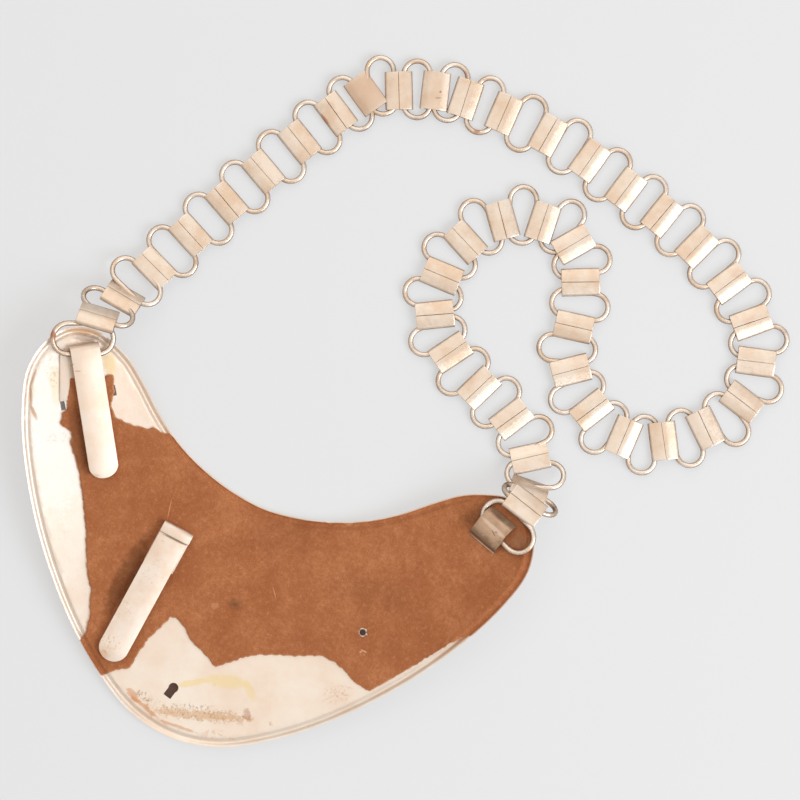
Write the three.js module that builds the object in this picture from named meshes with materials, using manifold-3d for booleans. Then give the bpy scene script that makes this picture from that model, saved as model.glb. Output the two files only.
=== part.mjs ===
// A half-moon gorget that lies face down, seen from its back. A bowed sheet-metal plate has a rounded
// rim pressed into it, and part of its board backing. A hook tongue, a wearing clip and a staple sit on
// its back, and a neck chain of folded bands and wire rings runs from the hook to the staple.
// Millimetres, +Z up. X runs across the plate to the staple's end, Y from its lowest point to the neck.

import * as THREE from "three";
import { mergeVertices } from "three/addons/utils/BufferGeometryUtils.js";
import Module from "manifold-3d";

const wasm = await Module();
wasm.setup();

// Plate
const PLATE_WIDTH = 212.8;
const PLATE_DEPTH = 139.6;
const PLATE_SHEET = 0.8;
const BOW_RADIUS = 312;
const RIM_WIDTH = 3.6;
const RIM_DROP = 1.5;
const INNER_ROWS = 4;
const CLEARANCE = 0.3;

// Half of the plate's outline, from its lowest point over the end to the middle of the neck.
// across is a share of half the width, along a share of the depth.
const OUTLINE = [
  { across: 0.0, along: 0.0 },
  { across: 0.169, along: 0.023 },
  { across: 0.32, along: 0.085 },
  { across: 0.511, along: 0.203 },
  { across: 0.724, along: 0.388 },
  { across: 0.874, along: 0.566 },
  { across: 0.963, along: 0.713 },
  { across: 1.0, along: 0.83 },
  { across: 0.972, along: 0.926 },
  { across: 0.912, along: 0.981 },
  { across: 0.827, along: 1.0 },
  { across: 0.742, along: 0.984 },
  { across: 0.667, along: 0.957 },
  { across: 0.592, along: 0.913 },
  { across: 0.479, along: 0.839 },
  { across: 0.376, along: 0.787 },
  { across: 0.263, along: 0.748 },
  { across: 0.141, along: 0.721 },
  { across: 0.0, along: 0.708 },
];
const TIP_ROW = 9;
const STEPS_PER_ROW = 2;

// The rim's channel on the back: inset is a share of the rim's width, drop of its depth.
const RIM_PROFILE = [
  { inset: 0.0, drop: 0.0 },
  { inset: 0.2, drop: 0.55 },
  { inset: 0.5, drop: 1.0 },
  { inset: 0.8, drop: 0.55 },
  { inset: 1.0, drop: 0.0 },
];

// Board backing, pressed a little into the rim's channel
const BACKING_WALL = 1.0;
const BACKING_PROFILE = [
  { inset: 0.15, drop: 0.3 },
  { inset: 0.5, drop: 0.75 },
  { inset: 1.0, drop: 0.0 },
];

// Where the board is torn away, round the upper left end and the lower edge. The first and last rows of
// each table lie outside the plate.
const TORN_END = [
  { across: -0.33, along: 0.85 },
  { across: -0.364, along: 0.781 },
  { across: -0.431, along: 0.8 },
  { across: -0.491, along: 0.803 },
  { across: -0.535, along: 0.789 },
  { across: -0.64, along: 0.788 },
  { across: -0.672, along: 0.818 },
  { across: -0.706, along: 0.896 },
  { across: -0.842, along: 0.846 },
  { across: -0.847, along: 0.78 },
  { across: -0.817, along: 0.758 },
  { across: -0.809, along: 0.723 },
  { across: -0.762, along: 0.71 },
  { across: -0.679, along: 0.609 },
  { across: -0.583, along: 0.471 },
  { across: -0.529, along: 0.374 },
  { across: -0.479, along: 0.309 },
  { across: -0.435, along: 0.195 },
  { across: -0.47, along: 0.1 },
  { across: -1.2, along: 0.1 },
  { across: -1.2, along: 1.2 },
];
const TORN_EDGE = [
  { across: -0.4, along: -0.1 },
  { across: -0.33, along: 0.09 },
  { across: -0.289, along: 0.123 },
  { across: -0.243, along: 0.143 },
  { across: -0.23, along: 0.225 },
  { across: -0.173, along: 0.323 },
  { across: -0.105, along: 0.31 },
  { across: -0.026, along: 0.269 },
  { across: 0.055, along: 0.239 },
  { across: 0.158, along: 0.305 },
  { across: 0.229, along: 0.332 },
  { across: 0.407, along: 0.385 },
  { across: 0.511, along: 0.371 },
  { across: 0.622, along: 0.345 },
  { across: 0.753, along: 0.477 },
  { across: 0.834, along: 0.561 },
  { across: 0.885, along: 0.601 },
  { across: 1.2, along: 0.55 },
  { across: 1.2, along: -0.1 },
];

// Holes. A heading is degrees from +X, counterclockwise.
const ROUND_HOLE = { across: 0.519, along: 0.488, radius: 1.8 };
const KEYHOLE = { across: -0.06, along: 0.135, radius: 2.0, slotWidth: 3.4, slotLength: 4.4, heading: 255 };
const SLITS = [
  { across: -0.833, along: 0.768, width: 1.8, length: 4.0, heading: -58 },
  { across: -0.68, along: 0.861, width: 1.4, length: 4.2, heading: -58 },
];

// Folded strips. The fold holds a wire or lies closed, and the free tongue runs back over the base.
const HOOK = {
  across: -0.851,
  along: 0.931,
  heading: -57.5,
  width: 11.2,
  foldWidth: 11.2,
  sheet: 0.9,
  gap: 3.2,
  baseLength: 15,
  tongueLength: 51.5,
  tipHeight: 3.4,
};
const CLIP = {
  across: -0.268,
  along: 0.555,
  heading: -96.4,
  width: 12.0,
  foldWidth: 13.2,
  sheet: 0.9,
  gap: 2.0,
  baseLength: 20,
  tongueLength: 58,
  tipHeight: 1.7,
};
const FOLD_BAND = 4;

// Staple: an arched strip on two feet. run is a share of its span, rise of its height.
const STAPLE = { across: 0.808, along: 0.852, heading: 71.8, width: 13.0, span: 14.4, height: 4.2 };
const STAPLE_PROFILE = [
  { run: -0.08, rise: 0.0 },
  { run: -0.08, rise: 0.19 },
  { run: 0.0, rise: 0.19 },
  { run: 0.055, rise: 0.62 },
  { run: 0.21, rise: 0.88 },
  { run: 0.52, rise: 1.0 },
  { run: 0.78, rise: 0.93 },
  { run: 0.85, rise: 0.76 },
  { run: 1.0, rise: 0.0 },
  { run: 0.93, rise: 0.0 },
  { run: 0.79, rise: 0.69 },
  { run: 0.52, rise: 0.8 },
  { run: 0.22, rise: 0.68 },
  { run: 0.115, rise: 0.46 },
  { run: 0.06, rise: 0.0 },
];

// Chain
const WIRE_RADIUS = 1.04;
const WIRE_SIDES = 5;
const RING_SPACING = 10.7;
const END_RING_SPACING = 12.2;
const RING_STRAIGHT = 12;
const RING_END_STEPS = 5;
const RING_SHIFT = 4.3;
const BAND_WIDTH = 15.2;
const BAND_LENGTH = 11.2;
const BAND_DEPTH = 3.1;
const BAND_RIDGE = 0.8;
const LINK_COUNT = 41;
const ROUTE_STEP = 0.25;

// Section of a band: run is a share of half its length, rise of half its depth, and ridge marks the seam.
const BAND_SECTION = [
  { run: -0.8, rise: -1.0 },
  { run: 0.8, rise: -1.0 },
  { run: 1.0, rise: -0.4 },
  { run: 1.0, rise: 0.4 },
  { run: 0.82, rise: 0.95 },
  { run: 0.0, rise: 1.0, ridge: true },
  { run: -0.82, rise: 0.95 },
  { run: -1.0, rise: 0.4 },
  { run: -1.0, rise: -0.4 },
];

// The chain's route: the middles of chosen bands. Where z is left out the band lies on the table. turn
// swings a band out of the route's direction, tilt is its slope where the chain climbs the plate's end,
// and flipped lays its seam down.
const ROUTE = [
  { link: 0, x: -89.0, y: 128.5, z: 18.6 },
  { link: 1, x: -88.6, y: 144.4, z: 18.6, turn: 18, tilt: -40 },
  { link: 2, x: -83.2, y: 155.1, z: 8.4, turn: 18, tilt: -38 },
  { link: 3, x: -76.4, y: 171.3, z: 2.8 },
  { link: 4, x: -68.2, y: 188.9 },
  { link: 7, x: -41.9, y: 239.8 },
  { link: 8, x: -32.7, y: 255.7 },
  { link: 9, x: -24.7, y: 267.5, turn: 16, flipped: true },
  { link: 10, x: -12.8, y: 273.6 },
  { link: 11, x: 0.7, y: 279.0, flipped: true },
  { link: 12, x: 13.0, y: 280.7 },
  { link: 15, x: 68.2, y: 276.5 },
  { link: 16, x: 86.0, y: 271.2 },
  { link: 17, x: 103.3, y: 267.1 },
  { link: 21, x: 160.1, y: 227.0 },
  { link: 22, x: 160.9, y: 210.1 },
  { link: 23, x: 151.4, y: 194.9 },
  { link: 25, x: 122.4, y: 179.3 },
  { link: 27, x: 92.9, y: 195.9 },
  { link: 29, x: 83.2, y: 230.1 },
  { link: 30, x: 74.8, y: 243.1 },
  { link: 32, x: 44.9, y: 241.2 },
  { link: 33, x: 34.5, y: 227.7 },
  { link: 35, x: 34.2, y: 196.1 },
  { link: 37, x: 61.5, y: 175.7 },
  { link: 38, x: 78.2, y: 169.3 },
  { link: 39, x: 90.9, y: 157.5, z: 2.9 },
  { link: 40, x: 95.1, y: 145.4, z: 8.0, turn: -10, tilt: 50 },
  { link: 41, x: 95.4, y: 139.2, z: 19.6, turn: -6, tilt: 34 },
  { link: 42, x: 92.2, y: 124.2, z: 20.3 },
];

// The two end rings and the route's two ends, each in its holder's own frame: run from the fold or foot,
// side across the strip, lift over its lower face.
const HOOK_RING = { run: -4.6, side: 1.6, turn: -10 };
const STAPLE_RING = { run: 12.0, side: -4.0, turn: -5, lift: 0.3 };
const HOOK_ROUTE_END = { run: 1.57, side: -0.25, lift: 3.17 };
const STAPLE_ROUTE_END = { run: 7.32, side: -5.69, lift: 2.68 };

const PALE_METAL = { color: 0xe9dccb, roughness: 0.34, metalness: 0.85 };
const BOARD = { color: 0xae6b42, roughness: 0.92, metalness: 0.0 };
const DULL_METAL = { color: 0xb8a68f, roughness: 0.45, metalness: 0.85 };

// Solids and meshes

function toSolid(geometry) {
  geometry.deleteAttribute("normal");
  geometry.deleteAttribute("uv");
  const merged = mergeVertices(geometry, 1e-4);
  const mesh = new wasm.Mesh({
    numProp: 3,
    vertProperties: new Float32Array(merged.attributes.position.array),
    triVerts: new Uint32Array(merged.index.array),
  });
  return new wasm.Manifold(mesh);
}

function toMesh(name, solid, finish) {
  const { numProp, vertProperties, triVerts } = solid.getMesh();
  const positions = new Float32Array((vertProperties.length / numProp) * 3);
  for (let i = 0; i < positions.length / 3; i += 1) {
    positions.set(vertProperties.subarray(i * numProp, i * numProp + 3), i * 3);
  }
  const geometry = new THREE.BufferGeometry();
  geometry.setAttribute("position", new THREE.BufferAttribute(positions, 3));
  geometry.setIndex(new THREE.BufferAttribute(new Uint32Array(triVerts), 1));
  geometry.computeVertexNormals();
  const mesh = new THREE.Mesh(geometry, new THREE.MeshStandardMaterial(finish));
  mesh.name = name;
  return mesh;
}

// A prism from a flat shape, standing on it.
function prism(shape, depth, curveSegments) {
  return new THREE.ExtrudeGeometry(shape, { depth, curveSegments, bevelEnabled: false });
}

// A closed body from rows of points: each face is a list of three corner numbers.
function bodyFrom(points, faces) {
  const numbers = points.flatMap((p) => [p.x, p.y, p.z]);
  const geometry = new THREE.BufferGeometry();
  geometry.setAttribute("position", new THREE.Float32BufferAttribute(numbers, 3));
  geometry.setIndex(faces.flat());
  return toSolid(geometry);
}

// An upright prism of a flat outline, tall enough to pass through the whole plate.
function cutter(outline) {
  const geometry = prism(outline, PLATE_WIDTH / 4, 8);
  geometry.translate(0, 0, -2 * BACKING_WALL);
  return toSolid(geometry);
}

// Plate and backing

function plateXY({ across, along }) {
  return new THREE.Vector2((across * PLATE_WIDTH) / 2, along * PLATE_DEPTH);
}

function bowHeight(x) {
  return (x * x) / (2 * BOW_RADIUS);
}

// The height of the flat sheet's upper face.
function plateTop(x) {
  return RIM_DROP + PLATE_SHEET + bowHeight(x);
}

function outlineLoop() {
  const half = OUTLINE.map((row) => plateXY(row));
  const mirrored = half.slice(1, -1).reverse().map((p) => new THREE.Vector2(-p.x, p.y));
  const corners = [...half, ...mirrored].map((p) => new THREE.Vector3(p.x, p.y, 0));
  const curve = new THREE.CatmullRomCurve3(corners, true, "centripetal");
  const count = corners.length * STEPS_PER_ROW;
  return Array.from({ length: count }, (_, i) => {
    const point = curve.getPoint(i / count);
    const tangent = curve.getTangent(i / count);
    const inward = new THREE.Vector2(-tangent.y, tangent.x).normalize();
    return { point: new THREE.Vector2(point.x, point.y), inward };
  });
}

// A bowed sheet with the plate's outline: loops follow the rim's profile, and rungs from the lower side
// to the neck side fill the middle. lift raises it over the plate's own sheet.
function bowedSheet(profile, wall, lift) {
  const loop = outlineLoop();
  const count = loop.length;
  const tip = TIP_ROW * STEPS_PER_ROW;
  const neck = count / 2;
  const flat = [];
  const rim = profile.map(({ inset, drop }) =>
    loop.map(({ point, inward }) => {
      const place = point.clone().addScaledVector(inward, inset * RIM_WIDTH);
      flat.push({ x: place.x, y: place.y, drop: drop * RIM_DROP });
      return flat.length - 1;
    }),
  );
  const inner = rim[rim.length - 1];
  const rungs = [];
  for (let r = -tip; r <= tip; r += 1) {
    const low = inner[(r + count) % count];
    const high = inner[neck - r];
    if (low === high) {
      rungs.push([low]);
      continue;
    }
    const rung = [low];
    for (let k = 1; k < INNER_ROWS; k += 1) {
      const share = k / INNER_ROWS;
      flat.push({
        x: THREE.MathUtils.lerp(flat[low].x, flat[high].x, share),
        y: THREE.MathUtils.lerp(flat[low].y, flat[high].y, share),
        drop: 0,
      });
      rung.push(flat.length - 1);
    }
    rungs.push([...rung, high]);
  }
  const upward = [];
  for (let row = 0; row + 1 < rim.length; row += 1) {
    for (let i = 0; i < count; i += 1) {
      const j = (i + 1) % count;
      const [outer, inside] = [rim[row], rim[row + 1]];
      upward.push([outer[i], outer[j], inside[j]], [outer[i], inside[j], inside[i]]);
    }
  }
  for (let r = 0; r + 1 < rungs.length; r += 1) {
    const [left, right] = [rungs[r], rungs[r + 1]];
    for (let k = 0; k < INNER_ROWS; k += 1) {
      if (left.length > 1 && right.length > 1) {
        upward.push([left[k], right[k], right[k + 1]], [left[k], right[k + 1], left[k + 1]]);
      } else if (right.length > 1) {
        upward.push([left[0], right[k], right[k + 1]]);
      } else {
        upward.push([left[k], right[0], left[k + 1]]);
      }
    }
  }
  const total = flat.length;
  const top = flat.map(({ x, y, drop }) => new THREE.Vector3(x, y, plateTop(x) + lift + wall - drop));
  const under = top.map((p) => new THREE.Vector3(p.x, p.y, p.z - wall));
  const downward = upward.map(([a, b, c]) => [a + total, c + total, b + total]);
  const walls = rim[0].flatMap((a, i) => {
    const b = rim[0][(i + 1) % count];
    return [
      [a, a + total, b + total],
      [a, b + total, b],
    ];
  });
  return bodyFrom([...top, ...under], [...upward, ...downward, ...walls]);
}

function shapeOf(rows) {
  return new THREE.Shape(rows.map((row) => plateXY(row)));
}

function roundHole({ across, along, radius }) {
  const centre = plateXY({ across, along });
  return new THREE.Shape().absarc(centre.x, centre.y, radius, 0, 2 * Math.PI);
}

// A rectangle that starts at a point of the plate and runs along its heading.
function slotShape({ across, along, width, length, heading }, start) {
  const centre = plateXY({ across, along });
  const angle = THREE.MathUtils.degToRad(heading);
  const middle = new THREE.Vector2();
  const corners = [
    new THREE.Vector2(start, -width / 2),
    new THREE.Vector2(start + length, -width / 2),
    new THREE.Vector2(start + length, width / 2),
    new THREE.Vector2(start, width / 2),
  ];
  return new THREE.Shape(corners.map((corner) => corner.rotateAround(middle, angle).add(centre)));
}

function makePlate() {
  const slot = { ...KEYHOLE, width: KEYHOLE.slotWidth, length: KEYHOLE.slotLength };
  const cuts = [
    cutter(roundHole(ROUND_HOLE)),
    cutter(roundHole(KEYHOLE)),
    cutter(slotShape(slot, 0)),
    ...SLITS.map((slit) => cutter(slotShape(slit, -slit.length / 2))),
  ];
  const sheet = bowedSheet(RIM_PROFILE, PLATE_SHEET, -PLATE_SHEET);
  return cuts.reduce((solid, cut) => solid.subtract(cut), sheet);
}

function makeBacking() {
  const pocket = { ...HOOK, width: HOOK.foldWidth + 4 * CLEARANCE, length: HOOK.baseLength + 2 * CLEARANCE };
  const cuts = [
    cutter(shapeOf(TORN_END)),
    cutter(shapeOf(TORN_EDGE)),
    cutter(roundHole(ROUND_HOLE)),
    cutter(slotShape(pocket, 0)),
  ];
  const board = bowedSheet(BACKING_PROFILE, BACKING_WALL, CLEARANCE);
  return cuts.reduce((solid, cut) => solid.subtract(cut), board);
}

// Strips on the plate's back

// The frame of a piece that sits on the plate: X along its heading, Z square to the sheet.
function seat({ across, along, heading }, lift) {
  const place = plateXY({ across, along });
  const angle = THREE.MathUtils.degToRad(heading);
  const up = new THREE.Vector3(-place.x / BOW_RADIUS, 0, 1).normalize();
  const ahead = new THREE.Vector3(Math.cos(angle), Math.sin(angle), 0);
  ahead.addScaledVector(up, -ahead.dot(up)).normalize();
  const side = new THREE.Vector3().crossVectors(up, ahead);
  const frame = new THREE.Matrix4().makeBasis(ahead, side, up);
  return frame.setPosition(new THREE.Vector3(place.x, place.y, plateTop(place.x)).addScaledVector(up, lift));
}

// A profile drawn in X and Z, given a width along Y.
function stripFrom(profile, width) {
  const geometry = prism(profile, width, 6);
  geometry.rotateX(Math.PI / 2);
  geometry.translate(0, width / 2, 0);
  return geometry;
}

function foldedStrip({ width, foldWidth, sheet, gap, baseLength, tongueLength, tipHeight }) {
  const inner = gap / 2;
  const outer = inner + sheet;
  const profile = new THREE.Shape();
  profile.moveTo(baseLength, 0);
  profile.lineTo(baseLength, sheet);
  profile.lineTo(0, sheet);
  profile.absarc(0, outer, inner, -Math.PI / 2, Math.PI / 2, true);
  profile.lineTo(tongueLength, tipHeight);
  profile.lineTo(tongueLength, tipHeight + sheet);
  profile.lineTo(0, 2 * outer);
  profile.absarc(0, outer, outer, Math.PI / 2, -Math.PI / 2, false);
  const plan = new THREE.Shape();
  plan.moveTo(-2 * outer, -foldWidth / 2);
  plan.lineTo(FOLD_BAND, -foldWidth / 2);
  plan.lineTo(FOLD_BAND, -width / 2);
  plan.lineTo(tongueLength - width / 2, -width / 2);
  plan.absarc(tongueLength - width / 2, 0, width / 2, -Math.PI / 2, Math.PI / 2, false);
  plan.lineTo(FOLD_BAND, width / 2);
  plan.lineTo(FOLD_BAND, foldWidth / 2);
  plan.lineTo(-2 * outer, foldWidth / 2);
  const outline = prism(plan, 4 * outer, 8);
  outline.translate(0, 0, -outer);
  return toSolid(stripFrom(profile, foldWidth)).intersect(toSolid(outline));
}

function makeStaple() {
  const profile = new THREE.Shape(
    STAPLE_PROFILE.map(({ run, rise }) => new THREE.Vector2(run * STAPLE.span, rise * STAPLE.height)),
  );
  return toSolid(stripFrom(profile, STAPLE.width));
}

const ON_BACKING = CLEARANCE + BACKING_WALL + CLEARANCE;
const hookSeat = seat(HOOK, CLEARANCE);
const clipSeat = seat(CLIP, ON_BACKING);
const stapleSeat = seat(STAPLE, ON_BACKING);

// Chain

// A closed wire: two straight bars joined by two round ends, lying in X and Y, bars along Y.
function ringSolid(spacing) {
  const points = [];
  const faces = [];
  const steps = 2 * (RING_END_STEPS + 1);
  for (const end of [1, -1]) {
    for (let i = 0; i <= RING_END_STEPS; i += 1) {
      const angle = (Math.PI * i) / RING_END_STEPS + (end > 0 ? 0 : Math.PI);
      const outward = new THREE.Vector3(Math.cos(angle), Math.sin(angle), 0);
      const middle = outward.clone().multiplyScalar(spacing / 2);
      middle.y += (end * RING_STRAIGHT) / 2;
      for (let k = 0; k < WIRE_SIDES; k += 1) {
        const around = (2 * Math.PI * (k + 0.5)) / WIRE_SIDES;
        const point = middle.clone().addScaledVector(outward, WIRE_RADIUS * Math.cos(around));
        point.z += WIRE_RADIUS * Math.sin(around);
        points.push(point);
      }
    }
  }
  for (let i = 0; i < steps; i += 1) {
    for (let k = 0; k < WIRE_SIDES; k += 1) {
      const [here, next] = [i * WIRE_SIDES, ((i + 1) % steps) * WIRE_SIDES];
      const over = (k + 1) % WIRE_SIDES;
      faces.push([here + k, next + k, next + over], [here + k, next + over, here + over]);
    }
  }
  return bodyFrom(points, faces);
}

function bandSolid() {
  const section = BAND_SECTION.map(
    ({ run, rise, ridge }) =>
      new THREE.Vector2((run * BAND_LENGTH) / 2, (rise * BAND_DEPTH) / 2 + (ridge ? BAND_RIDGE : 0)),
  );
  return toSolid(stripFrom(new THREE.Shape(section), BAND_WIDTH));
}

// The route's rows, moved along with the two holders so that the chain's ends stay at them.
function heldRoute() {
  const shiftOf = (row, holder, { run, side, lift }) =>
    new THREE.Vector3(run, side, lift).applyMatrix4(holder).sub(new THREE.Vector3(row.x, row.y, row.z));
  const first = shiftOf(ROUTE[0], hookSeat, HOOK_ROUTE_END);
  const last = shiftOf(ROUTE[ROUTE.length - 1], stapleSeat, STAPLE_ROUTE_END);
  return ROUTE.map((row) => {
    const shift = first.clone().lerp(last, row.link / (LINK_COUNT + 1));
    const z = row.z === undefined ? BAND_DEPTH / 2 : row.z + shift.z;
    return { ...row, x: row.x + shift.x, y: row.y + shift.y, z };
  });
}

const route = heldRoute();

// A smooth curve through the route's rows, read by the number of the link.
function routeValue(axis, link) {
  const rows = route;
  const value = (i) => rows[i][axis];
  const slope = (i) => {
    if (i === 0 || i === rows.length - 1) {
      const j = i === 0 ? 1 : i - 1;
      return (value(j) - value(i)) / (rows[j].link - rows[i].link);
    }
    const before = rows[i].link - rows[i - 1].link;
    const after = rows[i + 1].link - rows[i].link;
    const back = (value(i) - value(i - 1)) / before;
    const ahead = (value(i + 1) - value(i)) / after;
    return (back * after + ahead * before) / (before + after);
  };
  let i = 0;
  while (i + 2 < rows.length && rows[i + 1].link <= link) i += 1;
  const span = rows[i + 1].link - rows[i].link;
  const t = (link - rows[i].link) / span;
  return (
    (1 + 2 * t) * (1 - t) ** 2 * value(i) +
    t * (1 - t) ** 2 * span * slope(i) +
    t * t * (3 - 2 * t) * value(i + 1) +
    t * t * (t - 1) * span * slope(i + 1)
  );
}

function routePoint(link) {
  return new THREE.Vector3(routeValue("x", link), routeValue("y", link), routeValue("z", link));
}

// Where one band lies: its middle, the way the chain runs there, and the way across it.
function bandPose(link) {
  const row = route.find((entry) => entry.link === link) ?? {};
  const ahead = routePoint(link + ROUTE_STEP).sub(routePoint(link - ROUTE_STEP));
  const flatRun = Math.hypot(ahead.x, ahead.y);
  const climb = row.tilt === undefined ? Math.atan2(ahead.z, flatRun) : THREE.MathUtils.degToRad(row.tilt);
  const heading = Math.atan2(ahead.y, ahead.x) + THREE.MathUtils.degToRad(row.turn ?? 0);
  ahead.set(Math.cos(heading) * Math.cos(climb), Math.sin(heading) * Math.cos(climb), Math.sin(climb));
  const side = new THREE.Vector3(-Math.sin(heading), Math.cos(heading), 0);
  const middle = routePoint(link);
  const under = BAND_DEPTH / 2 + (row.flipped ? BAND_RIDGE : 0);
  const corner = row.flipped ? 0 : Math.abs(BAND_SECTION[0].run) * (BAND_LENGTH / 2);
  const resting = under * Math.cos(climb) + corner * Math.abs(Math.sin(climb));
  middle.z = Math.max(middle.z, resting);
  return { middle, ahead, side, heading, flipped: row.flipped ?? false };
}

function poseMatrix(middle, ahead, side) {
  const up = new THREE.Vector3().crossVectors(ahead, side).normalize();
  return new THREE.Matrix4().makeBasis(ahead, side, up).setPosition(middle);
}

function bandMatrix({ middle, ahead, side, flipped }) {
  return poseMatrix(middle, ahead, flipped ? side.clone().negate() : side);
}

// The ring that joins two bands lies midway between them and slides outwards where the chain turns.
function ringMatrix(first, second) {
  const ahead = second.middle.clone().sub(first.middle).normalize();
  const side = first.side.clone().add(second.side);
  side.addScaledVector(ahead, -side.dot(ahead)).normalize();
  const turn = Math.atan2(Math.sin(second.heading - first.heading), Math.cos(second.heading - first.heading));
  const middle = first.middle.clone().add(second.middle).multiplyScalar(0.5);
  middle.addScaledVector(side, -RING_SHIFT * turn);
  return poseMatrix(middle, ahead, side);
}

function endRingMatrix(holder, { run, side, turn }, height) {
  const place = new THREE.Matrix4().makeRotationZ(THREE.MathUtils.degToRad(turn));
  place.setPosition(run, side, height);
  return holder.clone().multiply(place);
}

function makeChain() {
  const band = bandSolid();
  const ring = ringSolid(RING_SPACING);
  const endRing = ringSolid(END_RING_SPACING);
  const poses = Array.from({ length: LINK_COUNT }, (_, i) => bandPose(i + 1));
  const hookHeight = HOOK.sheet + HOOK.gap / 2;
  const stapleHeight = STAPLE_RING.lift + WIRE_RADIUS;
  const solids = [
    endRing.transform(endRingMatrix(hookSeat, HOOK_RING, hookHeight).toArray()),
    endRing.transform(endRingMatrix(stapleSeat, STAPLE_RING, stapleHeight).toArray()),
    ...poses.map((pose) => band.transform(bandMatrix(pose).toArray())),
    ...poses.slice(1).map((pose, i) => ring.transform(ringMatrix(poses[i], pose).toArray())),
  ];
  return solids.reduce((chain, solid) => chain.add(solid));
}

const assembly = new THREE.Group();
assembly.add(
  toMesh("plate", makePlate(), PALE_METAL),
  toMesh("backing", makeBacking(), BOARD),
  toMesh("hook_tongue", foldedStrip(HOOK).transform(hookSeat.toArray()), PALE_METAL),
  toMesh("wearing_clip", foldedStrip(CLIP).transform(clipSeat.toArray()), PALE_METAL),
  toMesh("chain_staple", makeStaple().transform(stapleSeat.toArray()), DULL_METAL),
  toMesh("neck_chain", makeChain(), PALE_METAL),
);

// The origin is the middle of the whole piece's footprint, on the table.
const box = new THREE.Box3().setFromObject(assembly);
const middle = box.getCenter(new THREE.Vector3());
assembly.position.set(-middle.x, -middle.y, -box.min.z);

export default assembly;
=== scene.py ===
"""Looks of a half-moon gorget that lies face down, seen from its back.

The plate, its torn board lining, the hook tongue, the wearing clip, the staple and the neck chain of
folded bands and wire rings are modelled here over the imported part. Lengths of the plate's own drawing
are millimetres, X across the plate and Y from its lowest point to the neck, as in the part's source.
"""

import logging
import math
from dataclasses import dataclass, field
from enum import Enum
from typing import Callable, Iterable, Optional, Sequence

import bmesh
import bpy
from mathutils import Matrix, Vector, noise

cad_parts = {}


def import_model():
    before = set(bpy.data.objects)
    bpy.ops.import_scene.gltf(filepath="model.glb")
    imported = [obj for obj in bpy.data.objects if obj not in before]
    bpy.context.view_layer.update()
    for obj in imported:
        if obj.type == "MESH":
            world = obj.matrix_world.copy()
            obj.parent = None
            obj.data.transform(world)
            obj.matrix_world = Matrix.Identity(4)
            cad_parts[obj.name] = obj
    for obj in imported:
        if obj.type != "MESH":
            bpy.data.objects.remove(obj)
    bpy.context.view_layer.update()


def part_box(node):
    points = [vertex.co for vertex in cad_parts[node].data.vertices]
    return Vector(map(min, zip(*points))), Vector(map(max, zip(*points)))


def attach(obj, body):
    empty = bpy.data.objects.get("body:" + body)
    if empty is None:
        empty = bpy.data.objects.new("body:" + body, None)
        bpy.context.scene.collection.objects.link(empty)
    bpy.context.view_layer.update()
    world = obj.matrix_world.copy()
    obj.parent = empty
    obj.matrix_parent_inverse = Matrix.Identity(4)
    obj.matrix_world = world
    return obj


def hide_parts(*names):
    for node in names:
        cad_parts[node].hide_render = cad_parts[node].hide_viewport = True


log = logging.getLogger("gorget")

MM = 0.001
HOLE_SIDES = 40
Point = tuple[float, float]
Triple = tuple[float, float, float]
Colour = tuple[float, float, float, float]


def paint(red: int, green: int, blue: int) -> Colour:
    """Turns a display colour into a linear one.

    Args:
        red: Its red, from 0 to 255.
        green: Its green.
        blue: Its blue.

    Returns:
        The linear colour with full opacity.
    """

    def linear(value: int) -> float:
        """Takes the display's curve off one channel."""
        share = value / 255
        return share / 12.92 if share <= 0.04045 else ((share + 0.055) / 1.055) ** 2.4

    return (linear(red), linear(green), linear(blue), 1.0)


# Modelling by hand


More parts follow.
